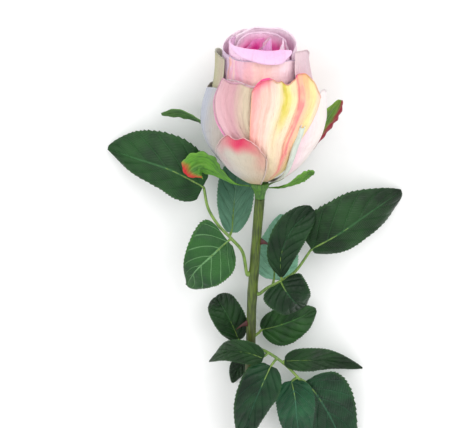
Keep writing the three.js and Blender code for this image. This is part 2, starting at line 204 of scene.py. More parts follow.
# ---------------------------------------------------------------- where the rose lies
@dataclass(frozen=True)
class Frame:
    """Places the rose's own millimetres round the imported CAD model.

    The bud leans by tilt, shifted sideways, on a neck of its own length and radius. The collar's
    centre is over the middle of the receptacle's box. The bud rests just off the floor, and the
    stem runs from a small gap below the neck to its cut end, which rests just off it too.
    """

    tilt: float = math.radians(6.5)
    shift: float = 1.0
    neck: float = 8.0
    neck_radius: float = 2.5
    collar_centre: float = 0.204
    rest: float = 0.3
    stem_length: float = 220.0
    stem_radius: float = 2.5
    stem_gap: float = 0.35
    stem_rest: float = 0.05
    stem_via: tuple[tuple[float, float], ...] = (
        (-0.5, -30), (-2.5, -65), (-3, -90), (-4.5, -140), (-6, -180), (-6.5, -220),
    )
    stem_steps: int = 160

    @property
    def base_height(self) -> float:
        """Height of the bud's base when its widest petals touch the floor."""
        r, h = OUTER_PROFILE.points.T
        return float(np.max(r * math.cos(self.tilt) - h * math.sin(self.tilt))) + self.rest

    def bloom(self, points: Array) -> Array:
        """Lays points of the standing bud down with the rose.

        Args:
            points: Points round the bud's own upright axis.

        Returns:
            The points in the lying rose's frame.
        """
        x, y, z = np.moveaxis(np.asarray(points, float), -1, 0)
        c, s = math.cos(self.tilt), math.sin(self.tilt)
        return np.stack([x + self.shift, s * y + c * z, self.base_height - c * y + s * z], -1)

    def to_row(self, points: Array) -> Array:
        """Turns the rose's millimetres into metres in the CAD model's frame.

        Args:
            points: Points in the lying rose's frame.

        Returns:
            The points as the CAD model's receptacle places them.
        """
        low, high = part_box("receptacle")
        c, s = math.cos(self.tilt), math.sin(self.tilt)
        base = (
            (low.x + high.x) / 2,
            low.y + (self.neck * c + self.neck_radius * s) / MM_PER_M,
            (low.z + high.z) / 2 + self.collar_centre / MM_PER_M,
        )
        origin = np.array(base) - np.array([self.shift, 0.0, self.base_height]) / MM_PER_M
        return np.asarray(points, float) / MM_PER_M + origin

    @property
    def stem_top(self) -> Array:
        """Where the stem meets the neck."""
        return self.bloom(np.array([0.0, 0.0, -self.neck - self.stem_gap]))

    def stem_height(self, y: Array | float) -> Array | float:
        """Height of the stem's middle line.

        Args:
            y: Distances along the stem, falling towards the cut end.

        Returns:
            The height at each.
        """
        top = self.stem_top
        share = (top[1] - y) / (top[1] + self.stem_length)
        return top[2] + (self.stem_radius + self.stem_rest - top[2]) * share

    def stem_line(self) -> Array:
        """The stem's middle line as many points."""
        points = [self.stem_top, *[(x, y, self.stem_height(y)) for x, y in self.stem_via]]
        return spline(points, np.linspace(0, 1, self.stem_steps))

    def stem_at(self, y: float) -> Array:
        """The stem's middle at a distance along it."""
        line = self.stem_line()
        return np.array([np.interp(-y, -line[:, 1], line[:, k]) for k in range(3)])

    def beside(self, place: Sequence[float]) -> Array:
        """A place given as x, y and the height above the stem's middle line."""
        x, y, lift = place
        return np.array([x, y, max(float(self.stem_height(y)) + lift, 0.0)])


OUTER_PROFILE = Profile(
    [(3.4, 1.4), (10, 3.2), (16, 7.4), (21.5, 12.8), (27, 21.4), (30.4, 30), (31, 37), (30, 45),
     (27.8, 53), (26.4, 60), (26, 67), (25.8, 70)]
)
CORE_PROFILE = Profile(
    [(3.4, 7.2), (10.34, 10.2), (15.98, 19.2), (18.8, 34.2), (18.8, 55), (18.8, 67),
     (17.67, 73), (15.79, 77)]
)
PITCH = 1.3  # from one layer of outer petals to the next
CORE_RADIUS, CORE_PITCH = 18.8, 2.043  # the heart's widest radius, and its layers' distance
CORE_DROP = 1.2  # how much higher each inner layer of the heart starts
PLACE = Frame()


# ---------------------------------------------------------------- shader building
class Socket:
    """An output of a shader node that can be calculated with."""

    def __init__(self, shader: Shader, link: bpy.types.NodeSocket) -> None:
        """Keeps the output and the shader it belongs to."""
        self.shader, self.link = shader, link

    def __add__(self, other: Value) -> Socket:
        """Adds."""
        return self.shader.math("ADD", self, other)

    __radd__ = __add__

    def __sub__(self, other: Value) -> Socket:
        """Subtracts."""
        return self.shader.math("SUBTRACT", self, other)

    def __rsub__(self, other: Value) -> Socket:
        """Subtracts this from a number."""
        return self.shader.math("SUBTRACT", other, self)

    def __mul__(self, other: Value) -> Socket:
        """Multiplies."""
        return self.shader.math("MULTIPLY", self, other)

    __rmul__ = __mul__

    def __truediv__(self, other: Value) -> Socket:
        """Divides."""
        return self.shader.math("DIVIDE", self, other)

    def __rtruediv__(self, other: Value) -> Socket:
        """Divides a number by this."""
        return self.shader.math("DIVIDE", other, self)

    def __pow__(self, other: Value) -> Socket:
        """Raises to a power."""
        return self.shader.math("POWER", self, other)

    def __abs__(self) -> Socket:
        """Drops the sign."""
        return self.shader.math("ABSOLUTE", self)

    def bell(self, centre: float, width: float) -> Socket:
        """One at the centre, falling off to both sides over a width."""
        away = (self - centre) / width
        return self.shader.math("EXPONENT", away * away * -1.0)

    def rise(self, low: float, high: float) -> Socket:
        """Rises smoothly from zero to one.

        Args:
            low: Where the rise starts.
            high: Where it ends.

        Returns:
            The risen value.
        """
        return self.shader.node(
            "ShaderNodeMapRange",
            {"interpolation_type": "SMOOTHSTEP"},
            {0: self, 1: low, 2: high, 3: 0.0, 4: 1.0},
        )


Value = Socket | float


class Shader:
    """A material and the nodes that make it."""

    def __init__(self, name: str) -> None:
        """Makes an empty material.

        Args:
            name: The material's name.
        """
        self.material = bpy.data.materials.new(name)
        self.material.use_nodes = True
        self.tree = self.material.node_tree
        self.tree.nodes.clear()

    def node(self, kind: str, settings: dict | None = None, inputs: dict | None = None,
             out: int | str = 0) -> Socket:
        """Adds any node.

        Args:
            kind: The node's type.
            settings: Its own settings, set first; "stops" fills a colour ramp.
            inputs: Values or sockets for its inputs, by name or number.
            out: Which output to give back.

        Returns:
            That output.
        """
        made = self.tree.nodes.new(kind)
        for key, value in (settings or {}).items():
            if key == "stops":
                ramp = made.color_ramp.elements
                while len(ramp) < len(value):
                    ramp.new(1.0)
                for element, (at, _) in zip(ramp, sorted(value)):
                    element.position = at
                for element, (_, shade) in zip(ramp, sorted(value)):
                    element.color = shade
            else:
                setattr(made, key, value)
        for key, value in (inputs or {}).items():
            if isinstance(value, Socket):
                self.tree.links.new(value.link, made.inputs[key])
            else:
                made.inputs[key].default_value = value
        return Socket(self, made.outputs[out])

    def math(self, operation: str, *values: Value) -> Socket:
        """Adds a Math node on up to three values."""
        return self.node("ShaderNodeMath", {"operation": operation}, dict(enumerate(values)))

    def mix(self, share: Value, first: Socket | Colour, second: Socket | Colour) -> Socket:
        """Mixes two colours."""
        return self.node("ShaderNodeMix", {"data_type": "RGBA"}, {0: share, 6: first, 7: second}, 2)

    def ramp(self, at: Socket, stops: Sequence[tuple[float, str]]) -> Socket:
        """Reads a colour from smoothly joined stops."""
        shades = [(place, colour(code)) for place, code in stops]
        return self.node("ShaderNodeValToRGB", {"stops": shades}, {0: at})

    def attribute(self, name: str) -> Socket:
        """Reads a number that the mesh holds at its points."""
        return self.node("ShaderNodeAttribute", {"attribute_name": name}, out="Fac")

    def surface(self) -> tuple[Socket, Socket]:
        """Reads the piece's own coordinates.

        Returns:
            The place across it and the place along it, both from 0 to 1.
        """
        uv = self.node("ShaderNodeUVMap", {"uv_map": "UVMap"})
        return (
            self.node("ShaderNodeSeparateXYZ", inputs={0: uv}, out=0),
            self.node("ShaderNodeSeparateXYZ", inputs={0: uv}, out=1),
        )

    def speckle(self, scale: float, detail: float = 2.0,
                at: tuple[Value, Value] | None = None) -> Socket:
        """Adds noise.

        Args:
            scale: How many cells it has in a metre, or in one unit of the given coordinates.
            detail: How many finer layers it has.
            at: Two coordinates to lay it over, instead of the rose's own space.

        Returns:
            Noise round a half.
        """
        if at is None:
            where = self.node("ShaderNodeTexCoord", out="Object")
        else:
            where = self.node("ShaderNodeCombineXYZ", inputs={0: at[0], 1: at[1]})
        return self.node(
            "ShaderNodeTexNoise", inputs={"Vector": where, "Scale": scale, "Detail": detail}
        )

    def finish(self, base: Socket, roughness: Value, height: Socket, depth: float,
               **fixed: float) -> bpy.types.Material:
        """Joins everything to one surface.

        Args:
            base: The colour.
            roughness: How dull it is.
            height: The fine relief.
            depth: How deep that relief is, in millimetres.
            **fixed: Further inputs that are the same all over, with _ for spaces.

        Returns:
            The finished material.
        """
        bump = self.node("ShaderNodeBump", inputs={
            "Height": height, "Distance": depth / MM_PER_M, "Strength": 1.0,
        })
        inputs = {"Base Color": base, "Roughness": roughness, "Normal": bump}
        inputs |= {key.replace("_", " "): value for key, value in fixed.items()}
        body = self.node("ShaderNodeBsdfPrincipled", inputs=inputs)
        out = self.tree.nodes.new("ShaderNodeOutputMaterial")
        self.tree.links.new(body.link, out.inputs["Surface"])
        return self.material


# ---------------------------------------------------------------- finishes
@dataclass(frozen=True)
class Streak:
    """A band of another colour up a petal."""

    at: float
    width: float
    hue: str
    low: float = 0.1
    high: float = 1.1
    strength: float = 0.8


@dataclass(frozen=True)
class Cloth:
    """How fine the petal cloth's marks are, and how dull and deep it is.

    Pairs are cells across a petal and along it; wander, fleck and cloud are cells in a metre.
    """

    fray: tuple[float, float] = (26.0, 3.0)
    fibre: tuple[float, float] = (42.0, 5.0)
    thread: tuple[float, float] = (150.0, 22.0)
    wrinkle: tuple[float, float] = (9.0, 11.0)
    wander: float = 60.0
    fleck: float = 230.0
    cloud: float = 160.0
    shadow: str = "#d8b8b4"
    dull: float = 0.56
    relief: float = 1.1


CLOTH = Cloth()


@dataclass(frozen=True)
class PetalFinish:
    """Satin petal cloth, coloured in bands from side to side: its dye, with painted shade on some
    petals.

    A blush is a colour, the place and width it has across the petal, and how far it reaches
    down from the rim in millimetres.
    """

    bands: tuple[tuple[float, str], ...]
    foot: str = "#d8c49c"
    foot_top: float = 0.35
    # The rim's colour: partly the petal's own edge colour, partly a painted highlight where the
    # edge catches light.
    rim: str = "#f6e6ea"
    rim_width: float = 0.7
    rim_share: float = 0.7
    inner: str = "#e8d8d8"
    deep: str = "#d8b8b8"
    inner_depth: float = 9.0
    streaks: tuple[Streak, ...] = ()
    blush: tuple[str, float, float, float] | None = None
    blush_from: float = 0.62
    lean: float = 0.0

    def material(self, name: str) -> bpy.types.Material:
        """Builds the cloth.

        Args:
            name: The material's name.

        Returns:
            The material.
        """
        s = Shader(name)
        across, along = s.surface()
        rim, side = s.attribute("rim"), s.attribute("side")
        wander = s.speckle(CLOTH.wander, 4.0) - 0.5
        fray = s.speckle(1.0, 3.0, at=(across * CLOTH.fray[0], along * CLOTH.fray[1])) - 0.5
        fleck = s.speckle(CLOTH.fleck, 3.0) - 0.5
        gathered = across * (1.0 - (1.0 - along.rise(0.55, 0.98)) * self.lean)
        place = gathered + wander * 0.15 + fray * 0.13 + fleck * 0.05
        skin = s.ramp(place, self.bands)
        low = 1.0 - (along + wander * 0.15).rise(0.0, self.foot_top)
        skin = s.mix(low, skin, colour(self.foot))
        for streak in self.streaks:
            window = along.rise(streak.low, streak.low + 0.2) * (
                1.0 - along.rise(streak.high - 0.15, streak.high)
            )
            share = place.bell(streak.at, streak.width) * window * streak.strength
            skin = s.mix(share, skin, colour(streak.hue))
        if self.blush:
            hue, at, width, reach = self.blush
            share = across.bell(at, width) * (1.0 - (rim + wander * 3.0).rise(reach * 0.3, reach))
            high = along.rise(self.blush_from, self.blush_from + 0.3)
            skin = s.mix(share * high, skin, colour(hue))
        # The pale rim line: partly the edge's own colour, partly a painted highlight.
        edge = 1.0 - rim.rise(self.rim_width * 0.3, self.rim_width)
        skin = s.mix(edge * self.rim_share, skin, colour(self.rim))
        lining = s.mix(rim.rise(0.5, self.inner_depth), colour(self.inner), colour(self.deep))
        both = s.mix(side, skin, lining)
        drift = across + wander * 0.03
        fibre = s.speckle(1.0, 4.0, at=(drift * CLOTH.fibre[0], along * CLOTH.fibre[1]))
        thread = s.speckle(1.0, 2.0, at=(drift * CLOTH.thread[0], along * CLOTH.thread[1]))
        cloudy = s.speckle(CLOTH.cloud, 2.0)
        wrinkle = s.speckle(1.0, 3.0, at=(across * CLOTH.wrinkle[0], along * CLOTH.wrinkle[1]))
        shade = (fibre - 0.5) * 0.8 + (thread - 0.5) * 0.35 + (cloudy - 0.5) * 0.4
        both = s.node(
            "ShaderNodeMix", {"data_type": "RGBA", "blend_type": "MULTIPLY"},
            {0: shade.rise(-0.02, 0.5) * 0.4, 6: both, 7: colour(CLOTH.shadow)}, 2,
        )
        height = fibre * 0.7 + thread * 0.1 + cloudy * 0.5 + wrinkle * 1.3
        return s.finish(both, CLOTH.dull + (fibre - 0.5) * 0.15, height, CLOTH.relief,
                        Sheen_Weight=0.12, Specular_IOR_Level=0.32)


@dataclass(frozen=True)
class LeafFinish:
    """A printed and pressed leaf: veins, grain and a soft gloss."""

    top: str = "#1a3f18"
    shade: str = "#0c260e"
    vein: str = "#3f6a3e"
    under: str = "#628a70"
    vein_share: float = 0.22
    edge: str = "#2c5426"
    pairs: float = 5.5
    wobble: float = 90.0  # cells in a metre, as for the blotches
    blotch: float = 70.0
    roughness: float = 0.36
    relief: float = 0.6

    def material(self, name: str) -> bpy.types.Material:
        """Builds the leaf's surface.

        Args:
            name: The material's name.

        Returns:
            The material.
        """
        s = Shader(name)
        across, along = s.surface()
        side = s.attribute("side")
        out = abs(across * 2.0 - 1.0)
        wobble = s.speckle(self.wobble, 3.0) - 0.5
        phase = (along - out * LEAF_SWEEP + wobble * 0.012) * self.pairs
        away = abs(s.math("FRACT", phase) - 0.5)
        veins = away.rise(0.40, 0.485) * (1.0 - out.rise(0.8, 0.98))
        fine = abs(s.math("FRACT", (along + out * 0.5) * self.pairs * 4.0 + wobble) - 0.5)
        midrib = 1.0 - out.rise(0.015, 0.06)
        blotch = s.speckle(self.blotch, 4.0)
        grain = s.speckle(FINE_GRAIN, 2.0)
        body = s.mix(blotch.rise(0.3, 0.7), colour(self.shade), colour(self.top))
        body = s.mix(out.rise(0.86, 1.0) * 0.5, body, colour(self.edge))
        drawn = veins * self.vein_share + fine.rise(0.42, 0.5) * 0.06
        body = s.mix(drawn, body, colour(self.vein))
        body = s.mix(midrib * 0.7, body, colour(self.vein))
        below = s.mix(veins * 0.5 + midrib * 0.6 + (grain - 0.5) * 0.3, colour(self.under),
                      colour(self.vein))
        body = s.mix(side, body, below)
        height = grain * 0.25 + fine.rise(0.3, 0.5) * -0.25 + veins * -0.5 + blotch * 0.5
        dull = self.roughness + (blotch - 0.5) * 0.25 + side * 0.2
        return s.finish(body, dull, height, self.relief, Specular_IOR_Level=0.26)


@dataclass(frozen=True)
class SepalFinish:
    """A sepal: fresh green with red edges and a red tip."""

    body: str = "#5c9a2c"
    shade: str = "#33601c"
    edge: str = "#7ab040"
    tip: str = "#c02226"
    red_edge: float = 0.0
    tip_from: float = 0.78
    blotch: float = 150.0  # cells in a metre
    lines: tuple[float, float] = (22.0, 3.0)  # cells across and along
    relief: float = 0.25

    def material(self, name: str) -> bpy.types.Material:
        """Builds the sepal's surface.

        Args:
            name: The material's name.

        Returns:
            The material.
        """
        s = Shader(name)
        across, along = s.surface()
        out = abs(across * 2.0 - 1.0)
        blotch = s.speckle(self.blotch, 3.0)
        grain = s.speckle(FINE_GRAIN, 2.0)
        rib = 1.0 - out.rise(0.03, 0.16)
        lines = s.speckle(1.0, 2.0, at=(across * self.lines[0], along * self.lines[1]))
        body = s.mix((blotch * 0.5 + lines * 0.5).rise(0.35, 0.62), colour(self.shade),
                     colour(self.body))
        body = s.mix(rib * 0.5, body, colour(self.edge))
        body = s.mix(out.rise(0.75, 1.0) * 0.4, body, colour(self.edge))
        red = (along + (blotch - 0.5) * 0.3).rise(self.tip_from, self.tip_from + 0.16)
        margin = (across + (blotch - 0.5) * 0.25).rise(0.62, 0.85) * self.red_edge
        body = s.mix(s.math("MAXIMUM", red, margin), body, colour(self.tip))
        dull = 0.5 + (blotch - 0.5) * 0.2
        return s.finish(body, dull, lines * 0.8 + grain * 0.3, self.relief,
                        Specular_IOR_Level=0.45)


@dataclass(frozen=True)
class StemFinish:
    """Bark of a green shoot: fine lengthwise streaks, browner low down and in blotches."""

    fresh: str = "#6c8c34"
    shade: str = "#3f5426"
    brown: str = "#6a4a30"
    brown_from: float = -0.09
    brown_to: float = -0.16
    streak: float = 1400.0  # cells in a metre, as for the blotches and the grain
    stretch: float = 0.05
    blotch: float = 120.0
    grain: float = 1500.0
    roughness: float = 0.45
    relief: float = 0.2

    def material(self, name: str) -> bpy.types.Material:
        """Builds the bark.

        Args:
            name: The material's name.

        Returns:
            The material.
        """
        s = Shader(name)
        where = s.node("ShaderNodeTexCoord", out="Object")
        length = s.node("ShaderNodeSeparateXYZ", inputs={0: where}, out=1)
        scale = (1.0, self.stretch, 1.0)
        drawn = s.node("ShaderNodeMapping", inputs={"Vector": where, "Scale": scale})
        streak = s.node(
            "ShaderNodeTexNoise", inputs={"Vector": drawn, "Scale": self.streak, "Detail": 3.0}
        )
        blotch = s.speckle(self.blotch, 4.0)
        grain = s.speckle(self.grain, 2.0)
        body = s.mix((streak * 0.6 + blotch * 0.4).rise(0.36, 0.64), colour(self.shade),
                     colour(self.fresh))
        low = (1.0 - length.rise(self.brown_to, self.brown_from)) * 0.5
        spots = blotch.rise(0.58, 0.72) * 0.25
        body = s.mix(low + spots, body, colour(self.brown))
        height = streak * 0.7 + grain * 0.3 + blotch * 0.5
        return s.finish(body, self.roughness + (streak - 0.5) * 0.2, height, self.relief)


@dataclass(frozen=True)
class PlainFinish:
    """Two close shades in fine grain, for small pieces and the floor."""

    light: str
    dark: str
    scale: float = 300.0
    roughness: float = 0.6
    depth: float = 0.08

    def material(self, name: str) -> bpy.types.Material:
        """Builds the surface.

        Args:
            name: The material's name.

        Returns:
            The material.
        """
        s = Shader(name)
        grain = s.speckle(self.scale, 3.0)
        body = s.mix(grain.rise(0.35, 0.65), colour(self.dark), colour(self.light))
        return s.finish(body, self.roughness + (grain - 0.5) * 0.1, grain, self.depth)


# ---------------------------------------------------------------- mesh building
@dataclass
class Sheet:
    """A thin closed piece built round a grid of points, with u across and v along."""

    grid: Array
    thickness: float = 0.45
    edge_share: float = 0.35
    edge_width: float = 0.9

    def normals(self) -> Array:
        """Unit normals of the grid."""
        return unit(np.cross(np.gradient(self.grid, axis=0), np.gradient(self.grid, axis=1)))

    def rim(self) -> Array:
        """Measures how far each point is from the sides and the far end.

        Returns:
            The least distance of each, in millimetres.
        """
        steps_v = np.linalg.norm(np.diff(self.grid, axis=1), axis=2)
        steps_u = np.linalg.norm(np.diff(self.grid, axis=0), axis=2)
        nu, nv = self.grid.shape[:2]
        top = np.zeros((nu, nv))
        top[:, :-1] = np.cumsum(steps_v[:, ::-1], axis=1)[:, ::-1]
        left, right = np.zeros((nu, nv)), np.zeros((nu, nv))
        left[1:] = np.cumsum(steps_u, axis=0)
        right[:-1] = np.cumsum(steps_u[::-1], axis=0)[::-1]
        return np.minimum(top, np.minimum(left, right))

    def build(self, name: str, slot: str, material: bpy.types.Material,
              floor: float | None = None) -> bpy.types.Object:
        """Makes the closed mesh with its coordinates and point numbers.

        Args:
            name: The piece's name.
            slot: Not used.
            material: Its finish.
            floor: The lowest height allowed, if any.

        Returns:
            The finished object.
        """
        nu, nv = self.grid.shape[:2]
        rim, normal = self.rim(), self.normals()
        share = self.edge_share + (1 - self.edge_share) * smooth(rim, 0, self.edge_width)
        half = (self.thickness / 2 * share)[..., None] * normal
        points = np.concatenate(
            [(self.grid + half).reshape(-1, 3), (self.grid - half).reshape(-1, 3)]
        )
        if floor is not None:
            points[:, 2] = np.maximum(points[:, 2], floor)
        count = nu * nv
        ids = np.arange(count).reshape(nu, nv)
        a, b, c, d = ids[:-1, :-1], ids[1:, :-1], ids[1:, 1:], ids[:-1, 1:]
        front = np.stack([a, b, c, d], -1).reshape(-1, 4)
        loop = np.concatenate([ids[:, 0], ids[-1, 1:], ids[-2::-1, -1], ids[0, -2:0:-1]])
        ahead = np.roll(loop, -1)
        wall = np.stack([loop, loop + count, ahead + count, ahead], -1)
        faces = np.concatenate([front, front[:, ::-1] + count, wall])
        mesh = bpy.data.meshes.new(name)
        mesh.from_pydata(PLACE.to_row(points).tolist(), [], faces.tolist())
        u, v = np.meshgrid(np.linspace(0, 1, nu), np.linspace(0, 1, nv), indexing="ij")
        uv = np.tile(np.stack([u.ravel(), v.ravel()], -1), (2, 1))
        layer = mesh.uv_layers.new(name="UVMap")
        layer.data.foreach_set("uv", uv[faces.ravel()].ravel().astype(np.float32))
        sides = np.repeat([0.0, 1.0], count)
        for key, values in (("rim", np.tile(rim.ravel(), 2)), ("side", sides)):
            held = mesh.attributes.new(key, "FLOAT", "POINT")
            held.data.foreach_set("value", values.astype(np.float32))
        return finished(mesh, name, material)


def finished(mesh: bpy.types.Mesh, name: str,
             material: bpy.types.Material, replaces: Sequence[str] = ()) -> bpy.types.Object:
    """Turns a mesh into a piece of the rose.

    Args:
        mesh: Its mesh, in the row's metres.
        name: Its name.
        material: Its finish.
        replaces: The CAD nodes that it stands for.

    Returns:
        The object, riding on the rose's one body.
    """
    mesh.materials.clear()
    mesh.materials.append(material)
    mesh.polygons.foreach_set("use_smooth", [True] * len(mesh.polygons))
    mesh.update()
    piece = bpy.data.objects.new(name, mesh)
    bpy.context.scene.collection.objects.link(piece)
    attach(piece, BODY)
    if replaces:
        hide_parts(*replaces)
    LOG.info("%s: %d faces", name, len(mesh.polygons))
    return piece


def rolled(grid: Array, start: int, lengths: Array, radius: float, most: float) -> Array:
    """Rolls the far end of a grid's columns over.

    Args:
        grid: Points, with the columns along the second axis.
        start: The row from which the columns roll.
        lengths: How long each column is past there; below zero, it rolls inwards.
        radius: The roll's radius.
        most: The largest angle of the roll, in degrees; past it the column runs straight.

    Returns:
        The grid with its far rows laid anew.
    """
    out = grid.copy()
    foot = grid[:, start]
    way = unit(foot - grid[:, start - 2])
    beside = np.gradient(grid[:, start], axis=0)
    normal = unit(np.cross(beside, way)) * np.sign(lengths + 1e-9)[:, None]
    limit = math.radians(most)
    for row in range(start, grid.shape[1]):
        run = np.abs(lengths) * (row - start) / (grid.shape[1] - 1 - start)
        angle = np.minimum(run / radius, limit)
        rest = run - radius * angle
        c, s = np.cos(angle)[:, None], np.sin(angle)[:, None]
        out[:, row] = (
            foot + radius * s * way + radius * (1 - c) * normal
            + rest[:, None] * (c * way + s * normal)
        )
    return out


# ---------------------------------------------------------------- petals
@dataclass(frozen=True)
class Petal:
    """One petal's shape and finish.

    Edges are angles round the bud at evenly spaced shares of the profile, from the base up;
    the rim is heights from the left edge to the right one. Insets are in layers. A fold is its
    place across the petal, its width, its depth and the share of the length where it starts.
    """

    name: str
    left: tuple[float, ...]
    right: tuple[float, ...]
    rim: tuple[float, ...]
    inset: tuple[float, ...]
    finish: PetalFinish
    lift: tuple[float, ...] = (0.0, 0.0)
    curl: tuple[float, ...] = (1.0, 1.0)
    curl_radius: float = 1.0
    curl_most: float = 120.0
    roll_left: tuple[float, ...] | None = None
    roll_right: tuple[float, ...] | None = None
    folds: tuple[tuple[float, float, float, float], ...] = ()
    rough_rim: float = 0.5


@dataclass
class PetalMaker:
    """Makes petals on the bud's two profiles.

    Waves are the bud's large swells, own and small ones a petal's, and crinkles its fine folds.
    """

    across: int = 70
    body_rows: int = 70
    roll_rows: int = 16
    root: float = 0.486  # the share of the profile by which a petal is at its full width
    wave: float = 0.45
    wave_pace: tuple[float, float] = (3.2, 11)  # how fast round the bud, and how long upwards
    own_wave: tuple[float, float, float] = (0.3, 9, 4)  # height, pace across, pace along
    small_wave: tuple[float, float, float] = (0.2, 14, 15)
    rim_pace: tuple[float, float] = (14, 3)
    crinkle: float = 0.32
    crinkle_pace: tuple[float, float] = (34, 8)
    crinkle_bend: tuple[float, float, float] = (1.6, 7, 5)
    grows: tuple[float, float] = (0.2, 0.55)  # shares between which the waves reach full height
    lifts: tuple[float, float] = (0.45, 1.0)
    floor: float = 0.06
    margin_most: float = 200.0  # how far a side margin may roll, in degrees

    def grid(self, petal: Petal, heart: bool, seed: int) -> Array:
        """Lays a petal's points.

        Args:
            petal: The petal.
            heart: Whether it is one of the narrow inner ones.
            seed: Which small irregularities it gets.

        Returns:
            Points in the standing bud's frame.
        """
        profile = CORE_PROFILE if heart else OUTER_PROFILE
        u = np.linspace(0, 1, self.across)
        fast, slow = self.rim_pace
        rim = spline(petal.rim, u) + petal.rough_rim * ripple(u * fast, u * slow, seed)
        reach = profile.share_at(rim)[:, None]
        v = np.linspace(0, 1, self.body_rows)[None, :]
        share = reach * v
        opened = 0.5 + 0.5 * np.sin(np.minimum(share / self.root, 1) * math.pi / 2)
        left, right = spline(petal.left, share), spline(petal.right, share)
        halfway = np.full_like(reach, 0.5)
        middle = (spline(petal.left, halfway) + spline(petal.right, halfway)) / 2
        turn = left + (right - left) * u[:, None]
        turn = np.radians(middle + (turn - middle) * opened)
        inset = spline(petal.inset, u)[:, None]
        if heart:
            narrow = (CORE_RADIUS - inset * CORE_PITCH) / CORE_RADIUS
            radius, height = profile.at(share)
            radius, height = radius * narrow, height + CORE_DROP * inset * (1 - share)
        else:
            radius, height = profile.at(share, inset * PITCH)
        grown = smooth(share, *self.grows)
        raised = spline(petal.lift, u)[:, None] * smooth(v, *self.lifts)
        pace, rise = self.wave_pace
        wave = self.wave * ripple(turn * pace, height / rise, 90) * (0.5 if heart else 1.0)
        high, pace, rise = self.own_wave
        own = high * ripple(u[:, None] * pace, v * rise, seed + 40)
        high, pace, rise = self.small_wave
        own = own + high * ripple(u[:, None] * pace, v * rise, seed + 55, 6)
        pace, rise = self.crinkle_pace
        bow, up, over = self.crinkle_bend
        bent = u[:, None] * pace + bow * np.sin(v * up + u[:, None] * over)
        crinkle = self.crinkle * ripple(bent, v * rise, seed + 70, 7) * smooth(v, 0.1, 0.5)
        out = radius + raised + grown * (wave + own + crinkle)
        for at, width, depth, low in petal.folds:
            line = np.exp(-(((u[:, None] - at) / width) ** 2))
            out = out - depth * line * smooth(v, low, low + 0.2)
        points = np.stack([out * np.sin(turn), -out * np.cos(turn), height], -1)
        extra = np.repeat(points[:, -1:], self.roll_rows, axis=1)
        points = np.concatenate([points, extra], axis=1)
        lengths = spline(petal.curl, u)
        points = rolled(points, self.body_rows - 1, lengths, petal.curl_radius, petal.curl_most)
        return self.sides(petal, points)

    def sides(self, petal: Petal, points: Array) -> Array:
        """Rolls a petal's left and right margins outwards.

        Args:
            petal: The petal.
            points: Its points.

        Returns:
            Its points with the margins rolled.
        """
        rows = np.linspace(0, 1, points.shape[1])
        for lengths, right in ((petal.roll_left, False), (petal.roll_right, True)):
            if lengths is None:
                continue
            turned_grid = points if right else points[::-1]
            columns = np.swapaxes(turned_grid, 0, 1)
            edge = columns[:, -1:]
            extra = np.repeat(edge, self.roll_rows, axis=1)
            columns = np.concatenate([columns, extra], axis=1)
            span = spline(lengths, rows) * (-1 if right else 1)
            laid = rolled(columns, columns.shape[1] - self.roll_rows - 1, span,
                          petal.curl_radius, self.margin_most)
            laid = np.swapaxes(laid, 0, 1)
            points = laid if right else laid[::-1]
        return points

    def make(self, petal: Petal, heart: bool, seed: int) -> bpy.types.Object:
        """Makes one petal.

        Args:
            petal: The petal.
            heart: Whether it is one of the narrow inner ones.
            seed: Which small irregularities it gets.

        Returns:
            The petal, standing for the CAD node of its name.
        """
        points = PLACE.bloom(self.grid(petal, heart, seed))
        slot = "heart_petal" if heart else "outer_petal"
        material = petal.finish.material(petal.name + "_cloth")
        piece = Sheet(points).build(petal.name + "_cloth", slot, material, floor=self.floor)
        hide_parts(petal.name)
        return piece
